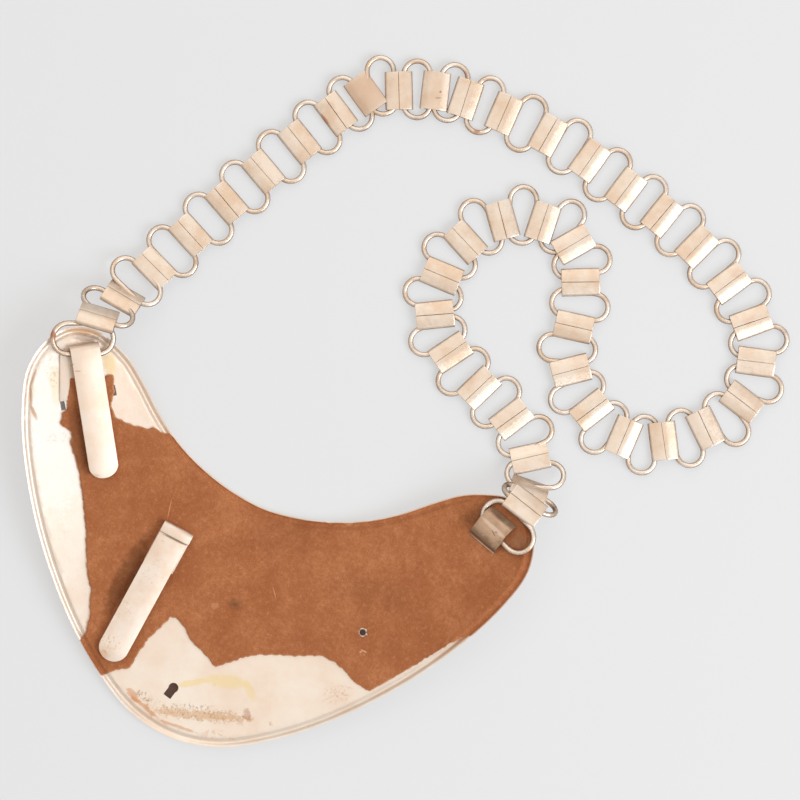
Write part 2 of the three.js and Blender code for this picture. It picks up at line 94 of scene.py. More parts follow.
class Bench:
    """The modelling bench: picks, edits and finishes one mesh at a time with Blender's operators."""

    @staticmethod
    def clear() -> None:
        """Leaves nothing selected."""
        bpy.ops.object.select_all(action="DESELECT")

    @staticmethod
    def take(piece: bpy.types.Object) -> None:
        """Makes one piece the only selected and the active one.

        Args:
            piece: The piece to work on.
        """
        Bench.clear()
        piece.select_set(True)
        bpy.context.view_layer.objects.active = piece

    @staticmethod
    def edit(piece: bpy.types.Object) -> None:
        """Opens a piece for editing with nothing selected in it.

        Args:
            piece: The piece to open.
        """
        Bench.take(piece)
        bpy.ops.object.mode_set(mode="EDIT")
        bpy.ops.mesh.select_all(action="DESELECT")

    @staticmethod
    def done() -> None:
        """Closes the mesh that is being edited."""
        bpy.ops.object.mode_set(mode="OBJECT")

    @staticmethod
    def pick(piece: bpy.types.Object, kind: str, test: Callable[[Vector], bool]) -> None:
        """Selects what lies where a test says, in the mesh that is being edited.

        Args:
            piece: The piece in edit mode.
            kind: "VERT", "EDGE" or "FACE".
            test: Says whether a vertex at a place is wanted. An edge or face needs all its corners.
        """
        bpy.ops.mesh.select_mode(type=kind)
        bpy.ops.mesh.select_all(action="DESELECT")
        mesh = bmesh.from_edit_mesh(piece.data)
        parts = {"VERT": mesh.verts, "EDGE": mesh.edges, "FACE": mesh.faces}[kind]
        for part in parts:
            corners = [part] if kind == "VERT" else part.verts
            part.select_set(all(test(corner.co) for corner in corners))
        mesh.select_flush_mode()
        bmesh.update_edit_mesh(piece.data)

    @staticmethod
    def apply(piece: bpy.types.Object, kind: str, **settings: object) -> None:
        """Adds one modifier, sets it and applies it.

        Args:
            piece: The piece that it changes.
            kind: The modifier's type.
            settings: Its properties by name.
        """
        Bench.take(piece)
        modifier = piece.modifiers.new(kind.title(), kind)
        for name, value in settings.items():
            setattr(modifier, name, value)
        bpy.ops.object.modifier_apply(modifier=modifier.name)

    @staticmethod
    def bake_place(piece: bpy.types.Object, place: Optional[Matrix] = None) -> None:
        """Moves a piece to its place and puts the place in its mesh.

        Args:
            piece: The piece to move.
            place: Where its own frame goes, or None to keep it where it stands.
        """
        Bench.take(piece)
        if place is not None:
            piece.matrix_world = place @ piece.matrix_world
        bpy.ops.object.transform_apply(location=True, rotation=True, scale=True)

    @staticmethod
    def soften(piece: bpy.types.Object, width: float, degrees: float) -> None:
        """Rounds a piece's sharp edges.

        Args:
            piece: The piece.
            width: Width of the rounding in millimetres.
            degrees: How far an edge turns before it is rounded.
        """
        limit = math.radians(degrees)
        Bench.apply(piece, "BEVEL", width=width * MM, segments=2, limit_method="ANGLE", angle_limit=limit)

    @staticmethod
    def smooth(piece: bpy.types.Object, degrees: float) -> None:
        """Shades a piece smooth, with creases where it turns by more than an angle."""
        Bench.take(piece)
        bpy.ops.object.shade_smooth_by_angle(angle=math.radians(degrees))

    @staticmethod
    def outward(piece: bpy.types.Object) -> None:
        """Merges doubles and turns every face outwards.

        Args:
            piece: A closed piece, or a sheet before it gets its thickness.
        """
        Bench.edit(piece)
        bpy.ops.mesh.select_all(action="SELECT")
        bpy.ops.mesh.remove_doubles(threshold=1e-6)
        bpy.ops.mesh.normals_make_consistent(inside=False)
        Bench.done()

    @staticmethod
    def copy(piece: bpy.types.Object, name: str) -> bpy.types.Object:
        """Copies a piece with a mesh of its own.

        Args:
            piece: The pattern.
            name: The copy's name.

        Returns:
            The copy, linked to the scene.
        """
        twin = piece.copy()
        twin.data = piece.data.copy()
        twin.name = name
        bpy.context.collection.objects.link(twin)
        return twin

    @staticmethod
    def cut(piece: bpy.types.Object, cutter: bpy.types.Object) -> None:
        """Cuts a solid out of a piece and throws the cutter away."""
        Bench.apply(piece, "BOOLEAN", object=cutter, operation="DIFFERENCE", solver="EXACT")
        bpy.data.objects.remove(cutter, do_unlink=True)

    @staticmethod
    def outline(name: str, corners: Sequence[Vector]) -> bpy.types.Object:
        """Draws a flat face round some corners, from a circle primitive with as many.

        Args:
            name: The piece's name.
            corners: The corners in order, in metres.

        Returns:
            The flat piece.
        """
        Bench.clear()
        bpy.ops.mesh.primitive_circle_add(vertices=len(corners), radius=1, fill_type="NGON")
        piece = bpy.context.object
        piece.name = name
        for vertex, corner in zip(piece.data.vertices, corners):
            vertex.co = corner
        piece.data.update()
        return piece

    @staticmethod
    def prism(name: str, corners: Sequence[Vector], low: float, high: float) -> bpy.types.Object:
        """Extrudes a flat outline to a closed upright solid.

        Args:
            name: The piece's name.
            corners: The outline's corners in order, in metres.
            low: Height of its lower face.
            high: Height of its upper face.

        Returns:
            The solid.
        """
        piece = Bench.outline(name, [Vector((c.x, c.y, low)) for c in corners])
        Bench.edit(piece)
        bpy.ops.mesh.select_all(action="SELECT")
        bpy.ops.mesh.extrude_region_move(TRANSFORM_OT_translate={"value": (0, 0, high - low)})
        Bench.done()
        Bench.outward(piece)
        return piece


# Node materials


class Graph:
    """A material's node tree with short calls for its nodes."""

    def __init__(self, name: str) -> None:
        """Starts a material with one shader and the row frame's coordinates.

        Args:
            name: The material's name.
        """
        self.material = bpy.data.materials.new(name)
        self.material.use_nodes = True
        self.tree = self.material.node_tree
        self.shader = self.tree.nodes["Principled BSDF"]
        self.place = self.node("ShaderNodeTexCoord").outputs["Object"]

    def node(self, kind: str, **settings: object) -> bpy.types.Node:
        """Adds a node and sets its properties.

        Args:
            kind: The node's type.
            settings: Its properties by name.

        Returns:
            The node.
        """
        made = self.tree.nodes.new(kind)
        for name, value in settings.items():
            setattr(made, name, value)
        return made

    def join(self, source: object, socket: bpy.types.NodeSocket) -> None:
        """Links an output to a socket, or sets the socket to a plain value.

        Args:
            source: An output socket, a number or a colour.
            socket: The input that takes it.
        """
        if isinstance(source, bpy.types.NodeSocket):
            self.tree.links.new(source, socket)
        else:
            socket.default_value = source

    def math(self, operation: str, first: object, second: object = 0.0) -> bpy.types.NodeSocket:
        """Works out one number from two.

        Args:
            operation: The sum to do.
            first: The first number or socket.
            second: The second.

        Returns:
            The result's socket.
        """
        made = self.node("ShaderNodeMath", operation=operation)
        self.join(first, made.inputs[0])
        self.join(second, made.inputs[1])
        return made.outputs[0]

    def ramp(self, source: object, low: float, high: float, start: float = 0.0,
             end: float = 1.0) -> bpy.types.NodeSocket:
        """Maps a number from one range to another with soft ends.

        Args:
            source: The number's socket.
            low: Where the first range starts. It may lie above its end.
            high: Where it ends.
            start: What the first value becomes.
            end: What the last value becomes.

        Returns:
            The result's socket.
        """
        made = self.node("ShaderNodeMapRange", interpolation_type="SMOOTHSTEP")
        self.join(source, made.inputs["Value"])
        for name, value in (("From Min", low), ("From Max", high), ("To Min", start), ("To Max", end)):
            made.inputs[name].default_value = value
        return made.outputs["Result"]

    def mix(self, share: object, first: object, second: object) -> bpy.types.NodeSocket:
        """Mixes two colours.

        Args:
            share: How much of the second there is, from 0 to 1.
            first: The first colour or socket.
            second: The second.

        Returns:
            The mixed colour's socket.
        """
        made = self.node("ShaderNodeMix", data_type="RGBA")
        self.join(share, made.inputs["Factor"])
        self.join(first, made.inputs["A"])
        self.join(second, made.inputs["B"])
        return made.outputs["Result"]

    def mapped(self, centre: Vector, angle: float, size: Triple) -> bpy.types.NodeSocket:
        """Coordinates measured from a place, turned about the vertical and divided by sizes.

        Args:
            centre: The place in metres, in the row frame.
            angle: Direction of the first axis, in radians from +X.
            size: Lengths in metres that come out as 1.

        Returns:
            The socket of the mapped coordinates.
        """
        made = self.node("ShaderNodeMapping", vector_type="TEXTURE")
        self.join(self.place, made.inputs["Vector"])
        made.inputs["Location"].default_value = centre
        made.inputs["Rotation"].default_value = (0, 0, angle)
        made.inputs["Scale"].default_value = size
        return made.outputs["Vector"]

    def spot(self, drawing: "Drawing", tint_patch: "TintPatch", ragged: object,
             dots: object) -> bpy.types.NodeSocket:
        """How much of a patch lies at each place. Patches are real soiling, painted shadows and painted
        highlights.

        Args:
            drawing: The plate's drawing, which places the patch.
            tint_patch: The patch.
            ragged: A noise that frays its edge.
            dots: A pattern of dots, for a patch that is speckled.

        Returns:
            The socket of its share, from 0 to the patch's strength.
        """
        place = drawing.place(tint_patch.x, tint_patch.y)
        size = (tint_patch.long * MM, tint_patch.short * MM, 1.0)
        spot = self.mapped(Vector((place.x, place.y, 0)), math.radians(tint_patch.heading), size)
        length = self.node("ShaderNodeVectorMath", operation="LENGTH")
        self.join(spot, length.inputs[0])
        wobble = self.math("MULTIPLY", self.math("SUBTRACT", ragged, 0.5), 4 * tint_patch.ragged)
        share = self.ramp(self.math("ADD", length.outputs["Value"], wobble), 0.5, 1.1, tint_patch.strength, 0)
        return self.math("MULTIPLY", share, dots) if tint_patch.speckled else share

    def grain(self, scale: float, detail: float = 4, rough: float = 0.55,
              vector: Optional[bpy.types.NodeSocket] = None) -> bpy.types.NodeSocket:
        """A noise over the piece.

        Args:
            scale: Its patterns for each metre.
            detail: How many finer noises it has.
            rough: How strong those are.
            vector: Coordinates to read, or None for the row frame's.

        Returns:
            The socket of its height, from 0 to 1.
        """
        made = self.node("ShaderNodeTexNoise")
        made.inputs["Scale"].default_value = scale
        made.inputs["Detail"].default_value = detail
        made.inputs["Roughness"].default_value = rough
        self.join(self.place if vector is None else vector, made.inputs["Vector"])
        return made.outputs["Fac"]

    def steepness(self) -> bpy.types.NodeSocket:
        """How steeply the surface stands.

        Returns:
            The socket of a number that is 0 where it lies level and 1 where it is upright.
        """
        split = self.node("ShaderNodeSeparateXYZ")
        self.join(self.node("ShaderNodeNewGeometry").outputs["Normal"], split.inputs["Vector"])
        return self.math("SUBTRACT", 1.0, self.math("ABSOLUTE", split.outputs["Z"]))

    def bump(self, height: object, depth: float, strength: float) -> None:
        """Gives the shader a relief.

        Args:
            height: The socket of its height, from 0 to 1.
            depth: What a height of 1 is, in metres.
            strength: How much of the relief is used.
        """
        made = self.node("ShaderNodeBump")
        made.inputs["Strength"].default_value = strength
        made.inputs["Distance"].default_value = depth
        self.join(height, made.inputs["Height"])
        self.join(made.outputs["Normal"], self.shader.inputs["Normal"])

    def finish(self, colour: object, roughness: object, metallic: object) -> bpy.types.Material:
        """Joins the finish to the shader.

        Args:
            colour: The base colour or its socket.
            roughness: The roughness or its socket.
            metallic: How metallic it is, or the socket of that.

        Returns:
            The material.
        """
        self.join(colour, self.shader.inputs["Base Color"])
        self.join(roughness, self.shader.inputs["Roughness"])
        self.join(metallic, self.shader.inputs["Metallic"])
        return self.material


@dataclass(frozen=True)
class TintPatch:
    """A soft patch on the plate's drawing, with a ragged edge. It serves for real soiling and spots, and
    for painted shadows and painted highlights.

    x, y and the two half lengths are millimetres of the plate's drawing, heading is in degrees.
    """

    x: float
    y: float
    long: float
    short: float
    heading: float
    colour: Colour
    strength: float = 0.8
    ragged: float = 0.35
    speckled: bool = False


@dataclass(frozen=True)
class PlatedMetal:
    """Pale plated metal, satin, with faint clouds, fine speckle and its own patches: real soiling, and on
    some pieces painted shade and painted highlights.

    clouds is in patterns for each metre. speckle, tarnish and steep_shade_and_dirt are the strengths of
    fine specks, of dark worn patches, and of painted shade mixed with dirt where the surface stands up.
    """

    name: str
    pale: Colour
    warm: Colour
    dark: Colour
    roughness: float = 0.36
    clouds: float = 45
    speckle: float = 0.35
    tarnish: float = 0.0
    metallic: float = 0.6
    steep_shade_and_dirt: float = 0.7
    tint_patches: tuple[TintPatch, ...] = ()

    def material(self, drawing: "Drawing") -> bpy.types.Material:
        """Builds the finish.

        Args:
            drawing: The plate's drawing, which places the patches.

        Returns:
            The material.
        """
        graph = Graph(self.name)
        cloud = graph.grain(self.clouds, 5, 0.6)
        colour = graph.mix(graph.ramp(cloud, 0.35, 0.68), self.pale, self.warm)
        fine = graph.grain(1400, 3, 0.7)
        colour = graph.mix(graph.ramp(fine, 0.6, 0.78, 0, self.speckle), colour, self.warm)
        pits = graph.grain(620, 2, 0.5)
        colour = graph.mix(graph.ramp(pits, 0.73, 0.8, 0, 0.5 * self.speckle), colour, self.dark)
        worn = graph.ramp(graph.grain(130, 5, 0.7), 0.55, 0.72, 0, self.tarnish)
        colour = graph.mix(worn, colour, self.dark)
        # Painted shade: where the surface stands steep, on the sides of wires, bands and bends, the colour
        # is darkened, patchily, together with real dirt.
        patchy = graph.ramp(graph.grain(260, 4, 0.6), 0.35, 0.6, 0.55, 1.0)
        steep_shade_and_dirt = graph.math("MULTIPLY", graph.ramp(graph.steepness(), 0.14, 0.7, 0, self.steep_shade_and_dirt), patchy)
        colour = graph.mix(steep_shade_and_dirt, colour, self.dark)
        ragged = graph.grain(330, 5, 0.65)
        dots = graph.ramp(graph.grain(900, 6, 0.8), 0.5, 0.62)
        covered: object = 0.0
        # Real soiling, and on some pieces painted shade and painted highlights, one patch at a time.
        for tint_patch in self.tint_patches:
            share = graph.spot(drawing, tint_patch, ragged, dots)
            colour = graph.mix(share, colour, tint_patch.colour)
            covered = graph.math("MAXIMUM", covered, share)
        satin = graph.ramp(fine, 0.3, 0.7, self.roughness - 0.05, self.roughness + 0.07)
        rough = graph.math("ADD", satin, graph.math("MULTIPLY", covered, 0.3))
        dulled = graph.math("MULTIPLY", covered, 0.6 * self.metallic)
        metallic = graph.math("SUBTRACT", self.metallic, dulled)
        height = graph.math("ADD", graph.math("MULTIPLY", fine, 0.25), graph.grain(240, 3, 0.5))
        graph.bump(height, 0.00012, 0.55)
        return graph.finish(colour, rough, metallic)


# Radians that the board's fibres are turned by, and their number for each metre
FIBRES = ((0.35, 1500), (1.5, 1250), (2.5, 1700))


@dataclass(frozen=True)
class TornBoard:
    """Brown strawboard: clouded and mottled, with short fibres that lie three ways."""

    name: str
    base: Colour
    deep: Colour
    pale: Colour
    grey: Colour
    marks_and_shadows: tuple[TintPatch, ...] = ()

    def material(self, drawing: "Drawing") -> bpy.types.Material:
        """Builds the finish.

        Args:
            drawing: The plate's drawing, which places the board's soiling and its painted shadows.

        Returns:
            The material.
        """
        graph = Graph(self.name)
        cloud = graph.grain(55, 6, 0.62)
        colour = graph.mix(graph.ramp(cloud, 0.3, 0.7), self.deep, self.base)
        blotch = graph.grain(210, 5, 0.6)
        colour = graph.mix(graph.ramp(blotch, 0.3, 0.75, 0.45, 0), colour, self.deep)
        relief: object = graph.math("MULTIPLY", blotch, 0.6)
        for turn, scale in FIBRES:
            long = graph.mapped(Vector((0, 0, 0)), turn, (3.0, 1.0, 1.0))
            fibre = graph.grain(scale, 3, 0.6, long)
            colour = graph.mix(graph.ramp(fibre, 0.56, 0.76, 0, 0.26), colour, self.pale)
            colour = graph.mix(graph.ramp(fibre, 0.46, 0.26, 0, 0.55), colour, self.deep)
            relief = graph.math("ADD", relief, graph.math("MULTIPLY", fibre, 0.5))
        mottle = graph.grain(560, 5, 0.7)
        colour = graph.mix(graph.ramp(mottle, 0.52, 0.7, 0, 0.24), colour, self.pale)
        colour = graph.mix(graph.ramp(mottle, 0.5, 0.32, 0, 0.62), colour, self.deep)
        fine = graph.grain(2300, 3, 0.65)
        colour = graph.mix(graph.ramp(fine, 0.5, 0.75, 0, 0.26), colour, self.pale)
        colour = graph.mix(graph.ramp(fine, 0.52, 0.28, 0, 0.6), colour, self.deep)
        flecks = graph.ramp(graph.grain(640, 3, 0.6), 0.66, 0.76, 0, 0.45)
        colour = graph.mix(flecks, colour, self.grey)
        ragged = graph.grain(420, 4, 0.6)
        dots = graph.ramp(graph.grain(1300, 2, 0.5), 0.48, 0.6)
        # Real soiling, and painted shadows of the tongues and the staple, one patch at a time.
        for board_patch in self.marks_and_shadows:
            colour = graph.mix(graph.spot(drawing, board_patch, ragged, dots), colour, board_patch.colour)
        graph.bump(relief, 0.0003, 0.7)
        graph.shader.inputs["Specular IOR Level"].default_value = 0.0
        return graph.finish(colour, 0.93, 0.0)


# Drawing of the plate


@dataclass
class Drawing:
    """The plate's own drawing: its outline, its bow, and where a point of it lies in the row frame.

    width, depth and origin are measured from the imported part. The outline's right half is rows of shares
    of half the width and of the depth, from its lowest point to the middle of the neck.
    """

    width: float = 0.0
    depth: float = 0.0
    origin: Vector = field(default_factory=Vector)
    sheet: float = 0.8
    bow_radius: float = 312
    rim_width: float = 3.6
    rim_drop: float = 1.5
    clearance: float = 0.3
    board: float = 1.0
    outline: tuple[Point, ...] = (
        (0.0, 0.0), (0.169, 0.023), (0.32, 0.085), (0.511, 0.203), (0.724, 0.388), (0.874, 0.566),
        (0.963, 0.713), (1.0, 0.83), (0.972, 0.926), (0.912, 0.981), (0.827, 1.0), (0.742, 0.984),
        (0.667, 0.957), (0.592, 0.913), (0.479, 0.839), (0.376, 0.787), (0.263, 0.748), (0.141, 0.721),
        (0.0, 0.708),
    )

    def measure(self) -> None:
        """Takes the plate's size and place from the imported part."""
        low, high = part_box("plate")
        self.width = (high.x - low.x) / MM
        self.depth = (high.y - low.y) / MM
        self.origin = Vector(((low.x + high.x) / 2, low.y, low.z))

    def place(self, x: float, y: float, z: float = 0.0) -> Vector:
        """A point of the drawing, in millimetres, as a place in the row frame in metres."""
        return self.origin + Vector((x, y, z)) * MM

    def point(self, across: float, along: float) -> Vector:
        """A share of half the width and a share of the depth, as millimetres of the drawing."""
        return Vector((across * self.width / 2, along * self.depth, 0))

    def bow(self, x: float) -> float:
        """How far the bowed sheet has risen at a distance from the middle."""
        return x * x / (2 * self.bow_radius)

    def top(self, x: float) -> float:
        """Height of the sheet's upper face."""
        return self.rim_drop + self.sheet + self.bow(x)

    def loop(self, steps: int) -> list[Vector]:
        """The whole outline as a smooth closed run of points in metres, from the lowest point.

        Args:
            steps: Points for each row of the outline.

        Returns:
            Corners in the drawing's plane, counterclockwise.
        """
        half = [self.point(*row) for row in self.outline]
        mirrored = [Vector((-p.x, p.y, 0)) for p in reversed(half[1:-1])]
        corners = half + mirrored
        count = len(corners)
        points = []
        for i in range(count):
            four = [corners[(i + k) % count] for k in (-1, 0, 1, 2)]
            points += [centripetal(four, step / steps) * MM for step in range(steps)]
        return points

    def bend(self, piece: bpy.types.Object, height: float) -> None:
        """Lifts a flat piece of the drawing along the bow and moves it to its place.

        Args:
            piece: A mesh in the drawing's plane, in metres, with its upper face at zero.
            height: Height of that face over the table at the middle, in millimetres.
        """
        for vertex in piece.data.vertices:
            vertex.co.z += (height + self.bow(vertex.co.x / MM)) * MM
        Bench.bake_place(piece, Matrix.Translation(self.origin))

    def seat(self, across: float, along: float, heading: float, lift: float) -> Matrix:
        """The frame of a piece that sits on the plate: X along its heading, Z square to the sheet.

        Args:
            across: Share of half the plate's width.
            along: Share of its depth.
            heading: Direction of the piece in degrees from +X.
            lift: Height over the sheet in millimetres.

        Returns:
            The frame, in metres.
        """
        place = self.point(across, along)
        angle = math.radians(heading)
        up = Vector((-place.x / self.bow_radius, 0, 1)).normalized()
        ahead = Vector((math.cos(angle), math.sin(angle), 0))
        ahead = (ahead - up * ahead.dot(up)).normalized()
        side = up.cross(ahead)
        middle = self.place(place.x, place.y, self.top(place.x)) + up * lift * MM
        return frame_of(ahead, side, up, middle)


def centripetal(four: Sequence[Vector], share: float) -> Vector:
    """A point of the centripetal curve between the middle two of four points.

    Args:
        four: Four corners in order.
        share: How far the point lies from the second to the third, from 0 to 1.

    Returns:
        The point.
    """
    p0, p1, p2, p3 = four
    t1 = math.sqrt((p1 - p0).length)
    t2 = t1 + math.sqrt((p2 - p1).length)
    t3 = t2 + math.sqrt((p3 - p2).length)
    t = t1 + (t2 - t1) * share
    a1 = p0 * ((t1 - t) / t1) + p1 * (t / t1)
    a2 = p1 * ((t2 - t) / (t2 - t1)) + p2 * ((t - t1) / (t2 - t1))
    a3 = p2 * ((t3 - t) / (t3 - t2)) + p3 * ((t - t2) / (t3 - t2))
    b1 = a1 * ((t2 - t) / t2) + a2 * (t / t2)
    b2 = a2 * ((t3 - t) / (t3 - t1)) + a3 * ((t - t1) / (t3 - t1))
    return b1 * ((t2 - t) / (t2 - t1)) + b2 * ((t - t1) / (t2 - t1))


def frame_of(ahead: Vector, side: Vector, up: Vector, middle: Vector) -> Matrix:
    """A frame from its three axes and its middle."""
    turn = Matrix((ahead, side, up)).transposed()
    return Matrix.Translation(middle) @ turn.to_4x4()


def hold(piece: bpy.types.Object, material: bpy.types.Material, slot: str, *nodes: str) -> None:
    """Dresses a finished piece, hangs it on the root body and hides the CAD nodes that it stands for.

    Args:
        piece: The finished piece.
        material: Its finish.
        slot: Not used.
        nodes: The CAD nodes that it stands for.
    """
    piece.data.materials.clear()
    piece.data.materials.append(material)
    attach(piece, "root")
    if nodes:
        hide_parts(*nodes)
    log.info("%s: %d faces", piece.name, len(piece.data.polygons))


# Plate and board


@dataclass
class SheetMaker:
    """Makes a sheet of the plate's outline with a pressed rim, as a grid fine enough to bend."""

    drawing: Drawing
    steps: int = 6
    grid: float = 2.4

    def rimmed(self, name: str, profile: Iterable[Point]) -> bpy.types.Object:
        """Draws the outline, insets the rim's steps and cuts the middle into a grid.

        Args:
            name: The piece's name.
            profile: Rows of (inset, drop) as shares of the rim's width and depth, from the edge inwards.

        Returns:
            The flat open sheet, in metres, its level part at zero and its faces up.
        """
        rows = list(profile)
        drop = self.drawing.rim_drop * MM
        edge = self.inward(self.drawing.loop(self.steps), rows[0][0] * self.drawing.rim_width * MM)
        piece = Bench.outline(name, [p + Vector((0, 0, -rows[0][1] * drop)) for p in edge])
        Bench.edit(piece)
        bpy.ops.mesh.select_all(action="SELECT")
        for before, after in zip(rows, rows[1:]):
            inset = (after[0] - before[0]) * self.drawing.rim_width * MM
            bpy.ops.mesh.inset(thickness=inset, depth=0)
            bpy.ops.transform.translate(value=(0, 0, (before[1] - after[1]) * drop))
        self.divide(piece)
        Bench.done()
        Bench.outward(piece)
        if piece.data.polygons[0].normal.z < 0:
            piece.data.flip_normals()
        return piece

    @staticmethod
    def inward(points: list[Vector], away: float) -> list[Vector]:
        """Moves the points of a counterclockwise outline towards its inside.

        Args:
            points: The outline's corners.
            away: How far they move.

        Returns:
            The moved corners.
        """
        moved = []
        for before, point, after in zip(points[-1:] + points[:-1], points, points[1:] + points[:1]):
            along = (after - before).normalized()
            moved.append(point + Vector((-along.y, along.x, 0)) * away)
        return moved

    def divide(self, piece: bpy.types.Object) -> None:
        """Cuts the level middle of the sheet along X and along Y.

        Args:
            piece: The sheet in edit mode.
        """
        xs = [p.x for p in self.drawing.loop(1)]
        ys = [p.y for p in self.drawing.loop(1)]
        for axis, low, high in (("x", min(xs), max(xs)), ("y", min(ys), max(ys))):
            normal = (1, 0, 0) if axis == "x" else (0, 1, 0)
            count = round((high - low) / (self.grid * MM))
            for i in range(1, count):
                Bench.pick(piece, "FACE", lambda co: abs(co.z) < 1e-6)
                at = low + (high - low) * i / count
                bpy.ops.mesh.bisect(plane_co=tuple(at * n for n in normal), plane_no=normal)


@dataclass(frozen=True)
class Hole:
    """A round hole: shares of half the plate's width and of its depth, and a radius in millimetres."""

    across: float
    along: float
    radius: float

    def corners(self, drawing: Drawing) -> list[Vector]:
        """Its outline.

        Args:
            drawing: The plate's drawing.

        Returns:
            Corners in metres, in the drawing's plane.
        """
        centre = drawing.point(self.across, self.along)
        angles = [2 * math.pi * i / HOLE_SIDES for i in range(HOLE_SIDES)]
        return [(centre + self.radius * Vector((math.cos(a), math.sin(a), 0))) * MM for a in angles]


@dataclass(frozen=True)
class Slot:
    """A slot along a heading, from start to end in millimetres past a point of the plate."""

    across: float
    along: float
    start: float
    end: float
    width: float
    heading: float

    def corners(self, drawing: Drawing) -> list[Vector]:
        """Its outline.

        Args:
            drawing: The plate's drawing.

        Returns:
            Corners in metres, in the drawing's plane.
        """
        turn = Matrix.Rotation(math.radians(self.heading), 3, "Z")
        centre = drawing.point(self.across, self.along)
        half = self.width / 2
        corners = [(self.start, -half), (self.end, -half), (self.end, half), (self.start, half)]
        return [(centre + turn @ Vector((x, y, 0))) * MM for x, y in corners]


PLATE_CUTS = (
    Hole(0.519, 0.488, 1.3),
    Hole(-0.06, 0.135, 2.0),
    Slot(-0.06, 0.135, 0.0, 4.4, 3.4, 255),
    Slot(-0.833, 0.768, -2.0, 2.0, 1.8, -58),
    Slot(-0.68, 0.861, -2.1, 2.1, 1.4, -58),
)


@dataclass
class PlateMaker:
    """The bowed metal plate with its channelled rim, keyhole, round hole and slits.

    lip and hollow are shares of the rim's width and depth. ripple is the height of the sheet's waves and
    cutter_reach how far a cutter stands out on both sides, in millimetres.
    """

    drawing: Drawing
    rim_steps: int = 9
    lip: float = 0.1
    hollow: float = 0.62
    ripple: float = 0.125
    cutter_reach: float = 5.0

    def profile(self) -> list[Point]:
        """The rim's channel: a level lip, then a soft channel back up to the sheet.

        Returns:
            Rows of (inset, drop) as shares of the rim's width and depth.
        """
        rows = [(0.0, 0.0)]
        for i in range(self.rim_steps + 1):
            t = i / self.rim_steps
            drop = self.hollow * (1 - math.cos(2 * math.pi * t)) / 2
            rows.append((self.lip + (1 - self.lip) * t, drop))
        return rows

    def build(self) -> bpy.types.Object:
        """Models the plate.

        Returns:
            The piece in its place.
        """
        piece = SheetMaker(self.drawing).rimmed("plate_sheet", self.profile())
        Bench.apply(piece, "SOLIDIFY", thickness=self.drawing.sheet * MM, offset=-1, use_even_offset=True)
        reach = self.cutter_reach * MM
        for i, opening in enumerate(PLATE_CUTS):
            Bench.cut(piece, Bench.prism(f"plate_cut_{i}", opening.corners(self.drawing), -reach, reach))
        self.hammer(piece)
        self.drawing.bend(piece, self.drawing.rim_drop + self.drawing.sheet)
        Bench.smooth(piece, 50)
        return piece

    def hammer(self, piece: bpy.types.Object) -> None:
        """Gives the sheet the faint waves of handling.

        Args:
            piece: The flat plate.
        """
        for vertex in piece.data.vertices:
            wave = noise.noise(Vector((vertex.co.x, vertex.co.y, 0)) * 28)
            vertex.co.z += self.ripple * MM * wave


